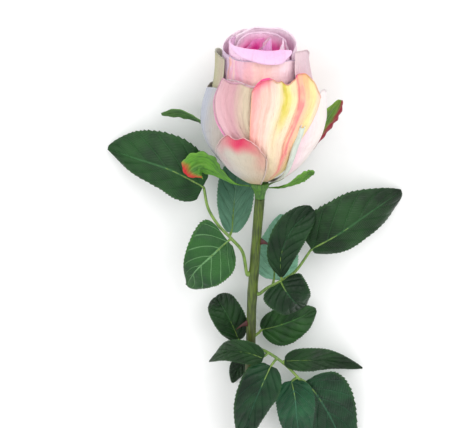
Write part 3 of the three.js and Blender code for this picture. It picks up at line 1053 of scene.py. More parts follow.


# A whitish petal coloured bluish grey all over: painted shade, as the bud's left side lies in
# shade.
SHADED_GREY = PetalFinish(
    bands=((0.0, "#b4b6ae"), (0.35, "#a8acbc"), (0.55, "#a9adb9"), (0.7, "#b2aca6"),
           (1.0, "#b9a79c")),
    foot="#cdbb9e", rim="#d8d8da", inner="#d8ccd0", deep="#b0a4a4",
)
OUTER = (
    Petal("petal_left", (-150,) * 5, (-60, -40, -30, -28, -26),
          (41, 47, 48.6, 49.6, 51.5, 52.5, 52), (0.4, 0.1, 0.0, 0.4, 1.7, 2.8, 3.1), SHADED_GREY,
          lift=(-1.5, -2.0, -2.2, -2.0, -2.6, -3.6, -3.4), curl=(0.5, 0.4, 0.4, 0.4)),
    Petal("petal_front_left", (-30, -26, -22, -22, -30, -46, -55, -50, -44),
          (-10, 0, 5, 6, 6, 6, 6, 6, 6), (57.4, 57, 56.2, 55.6, 55, 55, 55),
          (1.0, 1.5, 1.9, 2.0, 2.1, 2.1, 2.1),
          PetalFinish(
              bands=((0.0, "#d9a8b4"), (0.16, "#d8b0b8"), (0.34, "#cf9fa6"), (0.46, "#c8a4a0"),
                     (0.62, "#cdbba2"), (0.8, "#cdc2a4"), (0.92, "#d8b49c"), (1.0, "#e0a090")),
              foot="#d0bca0", rim="#f2a6d2", rim_width=0.8, rim_share=0.5, inner="#e8c8d4",
              deep="#c8a0ac",
              streaks=(Streak(0.05, 0.05, "#f07cc0", 0.3, 0.66, 0.85),
                       Streak(0.42, 0.05, "#c890a0", 0.3, 1.1, 0.5))),
          lift=(-1.5, -2.6, -3.2, -3.2, -3.0), roll_left=(0.3, 0.5, 1.2, 1.6, 0.5, 0.2),
          folds=((0.45, 0.07, 0.6, 0.3), (0.68, 0.04, 0.3, 0.4), (0.25, 0.05, 0.3, 0.4))),
    Petal("petal_front", (-12.0,) * 5, (30, 36, 39, 39, 38, 52, 73, 76, 75),
          (53, 57, 58.8, 58.2, 57.0, 57.4, 55.4, 57.0, 59.2, 59.4, 56, 51.2, 47),
          (1.0, 1.0, 1.0, 1.0, 1.0, 1.0),
          PetalFinish(
              bands=((0.0, "#eeb0a8"), (0.05, "#f2b4ac"), (0.12, "#f5beb6"), (0.18, "#f4ccbe"),
                     (0.25, "#f4d6c4"), (0.32, "#f3dac0"), (0.385, "#f1dcb8"), (0.43, "#f2dcb8"),
                     (0.50, "#f5dabc"), (0.555, "#f6d2b4"), (0.60, "#f5bfa0"), (0.64, "#f2b098"),
                     (0.68, "#f5c09c"), (0.75, "#f8d698"), (0.84, "#f2e09c"), (0.92, "#eed8c0"),
                     (1.0, "#e8ccd2")),
              foot="#d9c08c", foot_top=0.42, rim="#f0a870", rim_width=0.9, rim_share=0.45,
              inner="#f24a8e", deep="#f09cac", inner_depth=7.0, lean=0.11,
              streaks=(Streak(0.03, 0.03, "#ee9c92", 0.25, 1.1, 0.5),
                       Streak(0.05, 0.035, "#ee7088", 0.72, 1.1, 0.65),
                       Streak(0.20, 0.03, "#f2a898", 0.45, 1.1, 0.5),
                       Streak(0.13, 0.02, "#eab49c", 0.3, 0.9, 0.4),
                       Streak(0.46, 0.09, "#f0e07c", 0.55, 1.3, 0.7),
                       Streak(0.635, 0.024, "#ea5f72", 0.05, 1.05, 0.78),
                       Streak(0.67, 0.05, "#f6b4a4", 0.1, 1.1, 0.4),
                       Streak(0.425, 0.045, "#c8bc2c", 0.5, 1.15, 0.8),
                       Streak(0.72, 0.05, "#f2a878", 0.6, 1.1, 0.55),
                       Streak(0.95, 0.05, "#f4bc8c", 0.5, 1.1, 0.4)),
              blush=("#ee4484", 0.15, 0.12, 7.5)),
          lift=(-2.6, -3.2, -3.4, -3.6, -3.0, -1.6, -0.2, 1.4, 2.2),
          curl=(1.4, 2.6, 3.0, 1.4, 0.8, 0.8, 1.0, 1.6, 1.2, 1.4, 1.0),
          folds=((0.44, 0.045, 1.3, 0.45), (0.66, 0.035, 1.2, 0.3), (0.22, 0.03, 0.5, 0.3),
                 (0.11, 0.02, 0.3, 0.3), (0.31, 0.03, 0.4, 0.4), (0.55, 0.03, 0.4, 0.5))),
    Petal("petal_front_low", (-30, -44, -52, -54, -52, -46, -44, -44, -44),
          (14, 11, 8, 5, 2, 1, 0, 0, 0), (21, 27, 32.6, 32.0, 32.8, 30.0, 22),
          (0.0, 0.0, 0.0, 0.0, 0.0),
          PetalFinish(
              # Greyer towards its left margin: painted shade on the bud's left side, over its own
              # cream.
              bands=((0.0, "#b4b2b0"), (0.2, "#c0bab2"), (0.45, "#ccc2b0"), (0.7, "#ceb8a0"),
                     (0.9, "#d4c0a4"), (1.0, "#ece6dc")),
              foot="#c8ac6c", foot_top=0.4, rim="#e8d4d0", rim_width=0.8, rim_share=0.5,
              inner="#f4c4c4",
              blush=("#d8305c", 0.47, 0.27, 11.5), blush_from=0.4),
          curl=(0.8, 1.2, 1.4, 1.0, 1.4, 1.6, 0.9), roll_right=(0.8, 1.0, 1.2, 1.2)),
    Petal("petal_right", (16, 24, 29, 30, 32, 38, 42, 43, 43), (100, 120, 124, 124, 124),
          (37, 41, 44, 47, 48.6, 46.5, 43, 40, 34), (0.4, 0.1, 0.0, -0.1, -0.1, 0.0),
          PetalFinish(
              bands=((0.0, "#e0e0d4"), (0.12, "#efdde0"), (0.3, "#f2dbe0"), (0.5, "#eee2dc"),
                     (0.7, "#e4d8dc"), (1.0, "#d8ccd0")),
              foot="#d8c49c", foot_top=0.32, rim="#f2e8e8", inner="#cfd8cc", deep="#c2d0c4",
              streaks=(Streak(0.22, 0.06, "#f2b8c8", 0.2, 0.9, 0.5),)),
          roll_left=(0.4, 1.4, 2.8, 4.4, 5.6, 4.6, 0.8), curl=(0.3, 0.5, 1.2, 1.2), curl_radius=1.1,
          lift=(0.0, -1.2, -1.8, -0.6, 1.4, 1.8, 0.8, 0.0)),
    Petal("petal_under", (129,) * 5, (225,) * 5, (34, 43, 46, 46, 46, 43, 34), (0.0, 0.0, 0.0),
          PetalFinish(
              bands=((0.0, "#dcc8cc"), (0.3, "#d8bcc0"), (0.6, "#d4c4b4"), (1.0, "#ccc4b8")),
              streaks=(Streak(0.5, 0.05, "#e0a0a8", 0.3, 1.1, 0.5),))),
    Petal("petal_under_right", (88,) * 5, (162,) * 5, (38, 44, 48, 50, 50, 47, 38), (1.0, 1.0, 1.0),
          PetalFinish(
              bands=((0.0, "#ecd4d8"), (0.3, "#f0c8c4"), (0.6, "#f0dca8"), (1.0, "#e4c4b8")),
              streaks=(Streak(0.65, 0.05, "#e88890", 0.3, 1.1, 0.5),))),
    Petal("petal_under_left", (-204,) * 5, (-124,) * 5, (44, 52, 56, 56, 55, 50, 42),
          (2.0, 2.0, 2.0),
          PetalFinish(
              bands=((0.0, "#d8c8b8"), (0.4, "#ccc0a4"), (0.7, "#c8a8a8"), (1.0, "#b8b4b8")),
              streaks=(Streak(0.3, 0.05, "#d88c98", 0.3, 1.1, 0.5),))),
    Petal("petal_back_right", (49,) * 5, (156,) * 5, (69.5, 70, 66, 63, 62, 59, 51),
          (3.2, 2.4, 2.3, 3.0),
          PetalFinish(
              bands=((0.0, "#dcc2c8"), (0.25, "#d2b6c0"), (0.5, "#caa8ac"), (0.8, "#d0b4ac"),
                     (1.0, "#d8c4b0")),
              rim="#e8ccd0", inner="#eedce2", deep="#e8d0d6"),
          lift=(-1.8, -0.6, 0.2, 0.0)),
    Petal("petal_back_left", (-162,) * 5, (-66,) * 5, (50, 57, 62.5, 66, 66.5, 66, 65),
          (3.2, 3.3, 3.5, 4.1, 5.2),
          PetalFinish(
              bands=((0.0, "#b8ac9c"), (0.4, "#a8a88c"), (0.62, "#9a9c78"), (0.8, "#b0aa88"),
                     (1.0, "#b8a898")),
              rim="#b8bca0", inner="#b8bca4", deep="#aab094"),
          lift=(0.0, 0.2, 0.9, 1.1, 0.3)),
    Petal("petal_inner_front", (-56,) * 5, (70,) * 5, (57, 57, 56.4, 56, 55.5, 56.5, 57),
          (4.3, 4.2, 4.2),
          PetalFinish(bands=((0.0, "#e8bcc8"), (0.5, "#f0ccd0"), (1.0, "#f2d8d0")), foot_top=0.5),
          lift=(-1.2, -1.2, -1.2)),
    Petal("petal_inner_back", (122,) * 5, (242,) * 5, (52, 60, 64, 65, 64, 60, 52),
          (4.0, 4.0, 4.0),
          PetalFinish(bands=((0.0, "#d8b0b4"), (0.5, "#d8c0c0"), (1.0, "#c8b0a4")))),
)


def blush(outside: str, low: str, inner: str = "#f4d0e4", deep: str = "#ee3ca4",
          depth: float = 7.0, rim: str = "#f6d8ec") -> PetalFinish:
    """The pink finish of a heart petal.

    Args:
        outside: Its outer colour near the rim.
        low: Its outer colour lower down.
        inner: Its inner colour near the rim.
        deep: Its inner colour deep in the bud.
        depth: How far below the rim the deep colour is full.
        rim: The rim's colour, partly its own and partly a painted highlight where the edge catches
            light.

    Returns:
        The finish.
    """
    return PetalFinish(bands=((0.0, outside), (0.5, outside), (1.0, outside)), foot=low,
                       foot_top=0.85, inner=inner, deep=deep, inner_depth=depth, rim=rim,
                       rim_share=0.4)


HEART = (
    Petal("heart_wrap_left", (-190,) * 5, (70,) * 5,
          (72.3, 73.3, 72.8, 70.8, 68, 66.2, 65.8, 65.8, 66, 65.6, 63.5), (0.0, 0.0),
          PetalFinish(
              # The lavender on its left flank is painted shade; the pink and peach bands are its
              # own colour.
              bands=((0.0, "#ecd0e0"), (0.4, "#e2cbe6"), (0.52, "#dcc4e0"), (0.6, "#e2bccf"),
                     (0.68, "#ecc4c8"), (0.78, "#f4cfc8"), (0.9, "#f4dae2"), (1.0, "#f2dce6")),
              foot="#f2b4b8", foot_top=0.97, rim="#e6d4ee", inner="#f8e0ee", deep="#f8cce4",
              # Stripes over the crinkles, beside its folds: partly its own peach and pink, partly
              # painted shade in the creases.
              streaks=(Streak(0.47, 0.012, "#f4a888", 0.5, 1.0, 0.7),
                       Streak(0.50, 0.012, "#e890a0", 0.5, 0.95, 0.6),
                       Streak(0.53, 0.016, "#f8c4a8", 0.5, 0.98, 0.6),
                       Streak(0.57, 0.02, "#e88ca0", 0.5, 0.92, 0.5),
                       Streak(0.64, 0.04, "#f0a8ac", 0.5, 0.90, 0.5),
                       Streak(0.72, 0.05, "#fad0bc", 0.5, 0.92, 0.5))),
          lift=(0.0, 0.0, 0.0, 0.0, -0.6, -1.6, -1.9, -1.9, -1.6, -1.2, -0.8),
          curl=(1.0, 1.0, 0.8, 0.6, 0.4, 0.3, 0.3, 0.3),
          folds=((0.485, 0.012, 0.5, 0.5), (0.53, 0.012, 0.5, 0.5), (0.58, 0.014, 0.5, 0.5),
                 (0.64, 0.02, 0.5, 0.5), (0.72, 0.03, 0.5, 0.5), (0.82, 0.04, 0.4, 0.5))),
    Petal("heart_wrap_right", (-6, -6, 0, 10, 30, 52, 58, 56, 52), (230,) * 5,
          (66.5, 71, 73.3, 74.6, 74.6, 73.8, 71.8), (1.0, 1.0, 1.1),
          blush("#f4d8e8", "#ecc0d4", inner="#fae6f2", deep="#f8cce6"),
          curl=(0.8, 1.2, 1.4, 1.2, 0.8), roll_left=(0.3, 0.5, 0.8, 1.2, 1.0)),
    Petal("heart_lip_front", (-118,) * 5, (62, 62, 58, 54, 50),
          (72.6, 72.0, 71.4, 70.8, 70.3, 70.0, 69.8, 69.6, 69.6, 68.0), (1.9, 1.6, 1.45, 1.4, 1.5),
          # The inner face, seen where the lip rolls over in front, is darkened to lavender: partly
          # its own pale pink, partly painted shade.
          blush("#f4d0e8", "#e4a8cc", inner="#e9c0e0", deep="#f478c0", depth=16.0, rim="#f6dcf0"),
          lift=(0.0, 0.3, 0.3), curl=(0.6, 1.0, 1.6, 3.2, 6.0, 8.0, 9.2, 9.6, 8.4, 2.0),
          curl_radius=1.6, curl_most=172.0, rough_rim=0.25),
    Petal("heart_wrap_back", (66,) * 5, (290,) * 5, (64, 69.5, 72, 73, 72, 69, 64), (3.0, 3.0),
          blush("#f8d8ec", "#f0a0cc", inner="#f6d4ea", deep="#f05cb0", depth=8.0),
          curl=(0.6, 1.0, 0.6)),
    Petal("heart_fold_right", (-30,) * 5, (76,) * 5, (58, 60, 62, 64, 67.4, 70.6, 73.6),
          (4.2, 4.0, 3.8), blush("#f6dcee", "#ec78bc", depth=5.0), curl=(0.3, 0.3, 0.4),
          rough_rim=0.2),
    Petal("heart_fold_left", (-190,) * 5, (6,) * 5, (71, 69.5, 66.5, 64, 62, 60, 58), (5.0, 5.0),
          blush("#ee9cd0", "#ee3ca4", inner="#f08cc8", depth=4.0), curl=(0.8, 0.6, 0.3)),
    Petal("heart_tip_right", (-60,) * 5, (40,) * 5, (60, 62, 64.5, 67, 70, 72.5, 74.5), (6.0, 5.8),
          blush("#e8a4d8", "#e040a0", depth=4.0), curl=(0.3, 0.3, 0.4), rough_rim=0.2),
    Petal("heart_roll", (-150,) * 5, (170,) * 5, (65, 65, 66, 68, 70, 72, 72, 69), (7.0, 7.0),
          blush("#f0a8d4", "#e83ca0", depth=3.0), curl=(0.3, 0.6, 0.6), rough_rim=0.3),
)


@dataclass
class Bud:
    """The bloom: outer petals like skins, and a heart of narrow pink ones."""

    maker: PetalMaker = field(default_factory=PetalMaker)
    heart_seed: int = 20

    def build(self) -> None:
        """Makes all petals."""
        for number, petal in enumerate(OUTER):
            self.maker.make(petal, heart=False, seed=number)
        for number, petal in enumerate(HEART):
            self.maker.make(petal, heart=True, seed=self.heart_seed + number)


# ---------------------------------------------------------------- blades
class Margin(Enum):
    """How a blade's edge is cut."""

    SAW = "saw"
    LOBED = "lobed"


@dataclass(frozen=True)
class Blade:
    """A leaflet's or sepal's shape, round a rib from its stalk to its tip.

    A leaflet's rib is given as x, y and height above the stem; a sepal's is given as radius,
    height and angle round the bud. Pairs are for the left half and the right one.
    """

    name: str
    halves: tuple[float, float]
    rib: tuple[tuple[float, float, float], ...]
    finish: LeafFinish | SepalFinish
    fold: tuple[float, float] = (8.0, 8.0)
    taper: tuple[float, float] = (0.8, 0.8)
    roll: tuple[float, ...] = (0.0, 0.0)
    pillow: float = 0.42
    waves: float = 0.8
    base: tuple[float, float] | None = None


@dataclass
class BladeMaker:
    """Makes thin blades with a groove, veins and a cut edge."""

    across: int = 45
    along: int = 140
    thickness: float = 0.5
    teeth: int = 22
    tooth: float = 0.045
    margin: Margin = Margin.SAW
    first: float = 0.02  # where on the outline the blade starts, and how much of it there is
    span: float = 0.965
    wobble: float = 0.02
    groove: float = 0.5
    droop: float = 0.04
    grain: float = 0.12

    def surface(self, blade: Blade, rib: Array, across: Array, blunt: float, seed: int,
                least: float) -> Array:
        """Lays a blade's points.

        Args:
            blade: The blade.
            rib: Its rib's points.
            across: The direction of its right half.
            blunt: How blunt it starts, where the blade doesn't say.
            seed: Which small irregularities it gets.
            least: Its smallest half width.

        Returns:
            The grid of points.
        """
        v = np.linspace(0, 1, self.along)
        u = np.linspace(-1, 1, self.across)[:, None]
        middle = spline(rib, v)
        way = unit(np.gradient(middle, axis=0))
        side = unit(across - way * np.sum(across * way, axis=-1, keepdims=True))
        places = np.linspace(0, 1, len(blade.roll))
        side = turned(side, way, np.radians(np.interp(v, places, blade.roll)))
        up = np.cross(side, way)
        share = self.first + self.span * v
        taper = np.where(u < 0, blade.taper[0], blade.taper[1])
        half = np.where(u < 0, blade.halves[0], blade.halves[1])
        fold = np.radians(np.where(u < 0, blade.fold[0], blade.fold[1]))
        ends = blade.base or (blunt, blunt)
        base = np.where(u < 0, ends[0], ends[1])
        widest = base / (base + taper)
        outline = share**base * (1 - share) ** taper / (widest**base * (1 - widest) ** taper)
        out = np.abs(u)
        saw = (v * self.teeth) % 1.0
        if self.margin is Margin.SAW:
            tooth = (saw**1.5 - 0.45) * self.tooth
        else:
            tooth = (np.abs(2 * saw - 1) ** 0.8 - 0.5) * self.tooth
        wobble = self.wobble * ripple(v * 9 + u * 0, u * 2, seed + 3)
        cut = (tooth * smooth(v, 0.02, 0.1)[None, :] + wobble) * smooth(out, 0.7, 1.0)
        width = np.maximum(half * outline * (1 + cut), least)
        lie = u * width
        size = max(blade.halves)
        sweep = v[None, :] - out * LEAF_SWEEP
        quilt = np.abs(np.sin(math.pi * sweep * self.pairs(blade))) ** 0.8
        inner = smooth(out, 0.03, 0.25) * (1 - 0.6 * smooth(out, 0.75, 1.0))
        lift = blade.pillow * (quilt - 0.6) * inner * smooth(v, 0.0, 0.12)[None, :]
        lift = lift - self.groove * (1 - smooth(out, 0.0, 0.12)) * smooth(v, 0.0, 0.05)[None, :]
        swell = blade.waves * ripple(v[None, :] * 9, u * 1.6, seed) * out**1.6 * size / 14
        curve = -self.droop * size * smooth(out, 0.55, 1.0) ** 2
        lift = lift + swell + curve + self.grain * ripple(v[None, :] * 50, u * 9, seed + 9)
        # Near a pointed end the relief fades with the blade's width.
        lift = lift * np.clip(width / (0.5 * half), 0, 1)
        points = middle[None] + side[None] * (lie * np.cos(fold))[..., None]
        return points + up[None] * (out * width * np.sin(fold) + lift)[..., None]

    def pairs(self, blade: Blade) -> float:
        """How many pairs of side veins a blade has."""
        return getattr(blade.finish, "pairs", 6.0)


DARK = LeafFinish()
DEEP = LeafFinish(top="#193c1c", shade="#0c2410", vein="#2f5a38", vein_share=0.2)
FRESH = LeafFinish(top="#2e5e2a", shade="#1a4220", vein="#7fb078", vein_share=0.5, edge="#3f7428")
SEEN_BELOW = LeafFinish(top="#5f8a72", shade="#4d7a62", vein="#7aa488", vein_share=0.35,
                        edge="#5f8f6a", roughness=0.55)
MINT = LeafFinish(top="#8cc0a4", shade="#76ac90", vein="#a4ccb0", vein_share=0.3, edge="#8cbc98",
                  roughness=0.6)
STALK_SKIN = StemFinish(fresh="#7a9a44", shade="#4d6c2a", brown="#7a6a34")
# A lighter, bluer green with paler veins for one half of the lowest leaf: its green under a painted
# bluish highlight; the other half stays darker.
SEA_SHEEN = LeafFinish(top="#1f5a36", shade="#0e3820", vein="#4c8468", vein_share=0.3, edge="#225034")

LEAFLETS = (
    Blade("leaf_a_end", (13, 17.5),
          ((-27.5, -2.5, -2.5), (-44, 5.5, -5.5), (-63, 9.5, -16), (-77, 12.5, -25)),
          LeafFinish(top="#204e1e", shade="#0e3012", vein="#3a6c3e"), (-12, 2), (1.0, 0.75),
          (6, 2), base=(0.32, 0.5)),
    Blade("leaf_a_low", (14, 17),
          ((-15, -30, 4), (-22.5, -36, 8.5), (-31.5, -45.5, 6.5), (-36.5, -55.5, 0)), FRESH,
          (8, 8), (0.6, 1.3), (-4, 6), base=(0.5, 0.27)),
    Blade("leaf_a_up", (9.5, 10),
          ((-13, -26, 1.5), (-12, -16, -12), (-10.5, -4, -21), (-9, 6, -24.5)), SEEN_BELOW, (8, 8),
          (0.4, 0.45), (0, 0)),
    Blade("leaf_b_end", (17.5, 11.5),
          ((28, -37, -4), (42, -27.5, -1), (58, -18.5, -10), (75.5, -10, -23)),
          LeafFinish(top="#1b421a", shade="#0c240e", vein="#346238"), (0, -14), (0.9, 0.5),
          (-2, 0)),
    Blade("leaf_b_mid", (9.5, 9),
          ((12, -49.5, 4.5), (12, -37.5, 4.5), (17, -25, 2), (28, -14.5, -4)), DEEP, (10, 10),
          (0.6, 0.5), (0, 15), base=(0.9, 0.75)),
    Blade("leaf_b_round", (12, 12),
          ((12.2, -52.6, 4.5), (14.5, -56, 9), (19, -62, 9.5), (23.5, -68.5, 1)), DEEP, (8, 8),
          (0.6, 0.6), (0, 0), base=(0.28, 0.26)),
    Blade("leaf_b_back", (12, 12),
          ((9, -53.5, -3), (9.5, -47, -11), (12, -36.5, -16), (13.5, -22, -19.5)), MINT, (4, 4),
          (0.75, 0.75), (0, 0)),
    Blade("leaf_c", (8.6, 9),
          ((-9.3, -90, -7.6), (-13, -79.5, -4.5), (-17.5, -70, -3.5), (-21.5, -66.5, -11.5)), DARK,
          (10, 10), (0.45, 0.5), (0, 0), pillow=0.55),
    Blade("leaf_d", (9.5, 11.5), ((3, -84, -7), (12, -81, -5.5), (22, -77, -6), (32, -74.5, -13)),
          LeafFinish(top="#2a5424", shade="#112a16", vein="#4a7c40"), (8, 8), (0.75, 0.75), (0, 0),
          pillow=0.55),
    Blade("leaf_e_left", (6, 7),
          ((3.5, -94, 9.5), (-6, -91, 9), (-16, -93.5, 2.5), (-25, -103.5, -8.5)), DARK, (12, 12),
          (0.9, 0.9), (-10, 50)),
    Blade("leaf_e_right", (7.5, 6),
          ((14.5, -95.5, 10), (26, -96, 8), (40, -100.5, -2), (58, -109, -12)), DARK, (10, 10),
          (0.9, 0.9), (0, -15)),
    Blade("leaf_e_low_left", (10, 12),
          ((7.5, -99, 8.5), (2.5, -109, 14), (-3, -126, 12), (-7.5, -150.5, 5)),
          LeafFinish(top="#194424", shade="#0b2212", vein="#2f5c44"), (8, 8), (0.9, 0.9), (0, -5),
          pillow=0.55),
    # Its finish carries a painted bluish highlight.
    Blade("leaf_e_low_mid", (10.5, 10.5),
          ((18.5, -108.5, 6.5), (20.5, -118, 9), (22.5, -136, 3.5), (27, -165, -7)), SEA_SHEEN, (8, 8),
          (0.8, 0.8), (0, 0), pillow=0.55),
    Blade("leaf_e_low_right", (17.5, 14),
          ((26, -110, 4.5), (33, -120, 2), (42.5, -139, -3), (54, -168, -6)),
          LeafFinish(top="#1b4a2a", shade="#0c2816", vein="#346448"), (2, 8), (0.85, 0.8), (-4, 0),
          pillow=0.55),
    Blade("leaf_f", (5.5, 5.5),
          ((-3.8, -99.3, -7.4), (-7, -104, -8.6), (-10, -110, -10.2), (-12.5, -118, -12)), DARK,
          (6, 6), (0.8, 0.8), (0, 0)),
)


@dataclass
class Foliage:
    """All leaflets, each on a short stalk of its own."""

    maker: BladeMaker = field(default_factory=BladeMaker)
    blunt: float = 0.5
    least: float = 0.5
    seeds: tuple[int, int] = (200, 7)
    edge: tuple[float, float] = (0.45, 0.8)
    runs: tuple[float, float] = (0.03, 0.45)  # the shares of the rib that the stalk runs under
    sunk: float = 0.55
    radii: tuple[float, float] = (0.72, 0.22)
    lowest: float = 0.75
    steps: int = 40
    sides: int = 12
    relief: float = 0.03

    def build(self) -> None:
        """Makes the leaflets."""
        tree = shoot_tree()
        first, step = self.seeds
        for number, blade in enumerate(LEAFLETS):
            rib = np.array([PLACE.beside(place) for place in blade.rib])
            across = unit(np.cross(rib[-1] - rib[0], (0.0, 0.0, 1.0)))
            grid = self.maker.surface(
                blade, rib, across, self.blunt, first + step * number, self.least
            )
            grid[..., 2] = np.maximum(grid[..., 2], FLOOR_GAP + self.maker.thickness / 2)
            material = blade.finish.material(blade.name + "_print")
            sheet = Sheet(grid, self.maker.thickness, *self.edge)
            piece = sheet.build(blade.name + "_blade", "leaf", material, floor=FLOOR_GAP)
            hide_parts(blade.name)
            self.petiole(blade, rib, tree)

    def petiole(self, blade: Blade, rib: Array, tree: NodeTree) -> None:
        """Joins a leaflet to its stalk by a thin stalk that runs on under its midrib.

        Args:
            blade: The leaflet.
            rib: Its rib's points.
            tree: The shoot tree.
        """
        name = blade.name + "_petiole"
        stalk = Stem.line_of(blade.name)
        start = rib[0]
        joint = stalk[np.argmin(np.linalg.norm(stalk - start, axis=1))]
        along = spline(rib, np.linspace(*self.runs, 10))
        low = np.array([0.0, 0.0, self.sunk])
        line = [joint, (joint + start) / 2 - low * 0.5, *(along - low)]
        points = spline(line, np.linspace(0, 1, self.steps))
        points[:, 2] = np.maximum(points[:, 2], self.lowest)
        radii = np.linspace(*self.radii, len(points))
        skin = STALK_SKIN.material(name)
        shoot(tree, name, points, radii, "stalk", skin, [], self.sides, self.relief)


SEPALS = (
    Blade("sepal_left", (8.2, 8.2),
          ((4.9, -1.6, -88), (13, 0.2, -88), (22, 6.6, -88), (27.5, 10.6, -87), (32.5, 10, -86),
           (37, 5.5, -86)), SepalFinish(body="#5c9a24", shade="#35681a", tip_from=0.84),
          roll=(10, 60, 85), taper=(0.75, 0.8), waves=0.3, base=(2.0, 1.8)),
    Blade("sepal_under_left", (4.5, 4.5),
          ((4.9, -1.6, -136), (14, 1.6, -134), (24.5, 12.5, -128), (32.6, 26, -119),
           (43, 31, -114), (54, 29.5, -113)),
          SepalFinish(body="#3c6c28", shade="#24481c", tip="#3a6424"), roll=(0, 75),
          taper=(0.7, 0.7), waves=0.4),
    Blade("sepal_right", (7.2, 6.6),
          ((4.9, -1.6, 116), (14, 2.0, 116), (24.8, 13, 113), (31, 23.5, 109), (35, 32, 103),
           (39.5, 41.5, 98)),
          SepalFinish(body="#6c8c24", shade="#446418", tip="#8a1028", red_edge=1.0, tip_from=1.2),
          roll=(0, -62, -85), taper=(0.75, 0.65), waves=0.3, base=(1.3, 1.3)),
    Blade("sepal_low_right", (5.2, 4.4),
          ((4.9, -1.6, 64), (11, -0.6, 65), (17, 2.6, 67), (22, 6.0, 70), (25, 7.2, 73),
           (27.2, 7.2, 75)), SepalFinish(body="#5c9028", shade="#34641a", tip_from=1.2),
          roll=(0, -55), taper=(0.5, 1.1), waves=0.2, base=(1.5, 1.1)),
    Blade("sepal_under", (5, 5),
          ((4.9, -1.6, 170), (14, 1, 170), (22.3, 8.6, 170), (26.4, 14.2, 170), (28.4, 19, 170),
           (29, 24, 170)), SepalFinish(), roll=(0, 0), taper=(0.7, 0.7)),
)


@dataclass
class Calyx:
    """The receptacle with its collar, and the sepals round it."""

    maker: BladeMaker = field(
        default_factory=lambda: BladeMaker(31, 90, 0.5, 9, 0.2, Margin.LOBED)
    )
    blunt: float = 0.6
    least: float = 0.6
    seeds: tuple[int, int] = (400, 7)
    edge: tuple[float, float] = (0.45, 0.7)
    sides: int = 48
    rings: int = 60
    ribs: int = 5
    rib_depth: float = 0.05
    outline: tuple[tuple[float, float], ...] = (
        (2.45, -8.0), (2.55, -6.8), (2.85, -5.2), (3.0, -4.2), (3.6, -3.0), (4.3, -1.7),
        (4.5, -0.6), (4.1, 0.5), (2.4, 0.9), (1.8, 6.6),
    )

    def build(self) -> None:
        """Makes the receptacle and the sepals."""
        self.receptacle()
        first, step = self.seeds
        for number, blade in enumerate(SEPALS):
            start = math.radians(blade.rib[0][2])
            rib = np.array([
                (r * math.sin(math.radians(a)), -r * math.cos(math.radians(a)), h)
                for r, h, a in blade.rib
            ])
            across = np.array([math.cos(start), math.sin(start), 0.0])
            grid = self.maker.surface(
                blade, rib, across, self.blunt, first + step * number, self.least
            )
            material = blade.finish.material(blade.name + "_skin")
            sheet = Sheet(PLACE.bloom(grid), self.maker.thickness, *self.edge)
            piece = sheet.build(blade.name + "_blade", "sepal", material, floor=FLOOR_GAP)
            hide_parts(blade.name)

    def receptacle(self) -> None:
        """Makes the closed turned body under the petals, with a soft ribbed collar."""
        profile = spline(self.outline, np.linspace(0, 1, self.rings))
        angles = np.linspace(0, 2 * math.pi, self.sides, endpoint=False)
        r, h = profile[:, 0][None], profile[:, 1][None]
        wave = self.rib_depth * np.cos(self.ribs * angles)[:, None]
        rib = 1 + wave * smooth(h, -8, -2) * (1 - smooth(h, -1, 0))
        x, y = r * rib * np.sin(angles)[:, None], -r * rib * np.cos(angles)[:, None]
        points = np.stack([x, y, h + 0 * x], -1)
        piece = tube_mesh(points, "receptacle_body")
        skin = StemFinish(fresh="#548628", shade="#305a1c", brown="#42701f")
        finished(piece, "receptacle_body", skin.material("calyx_skin"),
                 ["receptacle"])


def tube_mesh(points: Array, name: str) -> bpy.types.Mesh:
    """Closes rings of points to a body.

    Args:
        points: Rings along the second axis and their points along the first, in the bud's frame.
        name: The mesh's name.

    Returns:
        The mesh, in the row's metres.
    """
    sides, rings = points.shape[:2]
    flat = np.concatenate([
        PLACE.bloom(points).reshape(-1, 3),
        PLACE.bloom(points[:, 0].mean(0))[None], PLACE.bloom(points[:, -1].mean(0))[None],
    ])
    ids = np.arange(sides * rings).reshape(sides, rings)
    ahead = np.roll(ids, -1, axis=0)
    quads = np.stack([ids[:, :-1], ahead[:, :-1], ahead[:, 1:], ids[:, 1:]], -1).reshape(-1, 4)
    low, high = sides * rings, sides * rings + 1
    fans = [[int(ahead[n, 0]), int(ids[n, 0]), low] for n in range(sides)]
    fans += [[int(ids[n, -1]), int(ahead[n, -1]), high] for n in range(sides)]
    mesh = bpy.data.meshes.new(name)
    mesh.from_pydata(PLACE.to_row(flat).tolist(), [], quads.tolist() + fans)
    return mesh


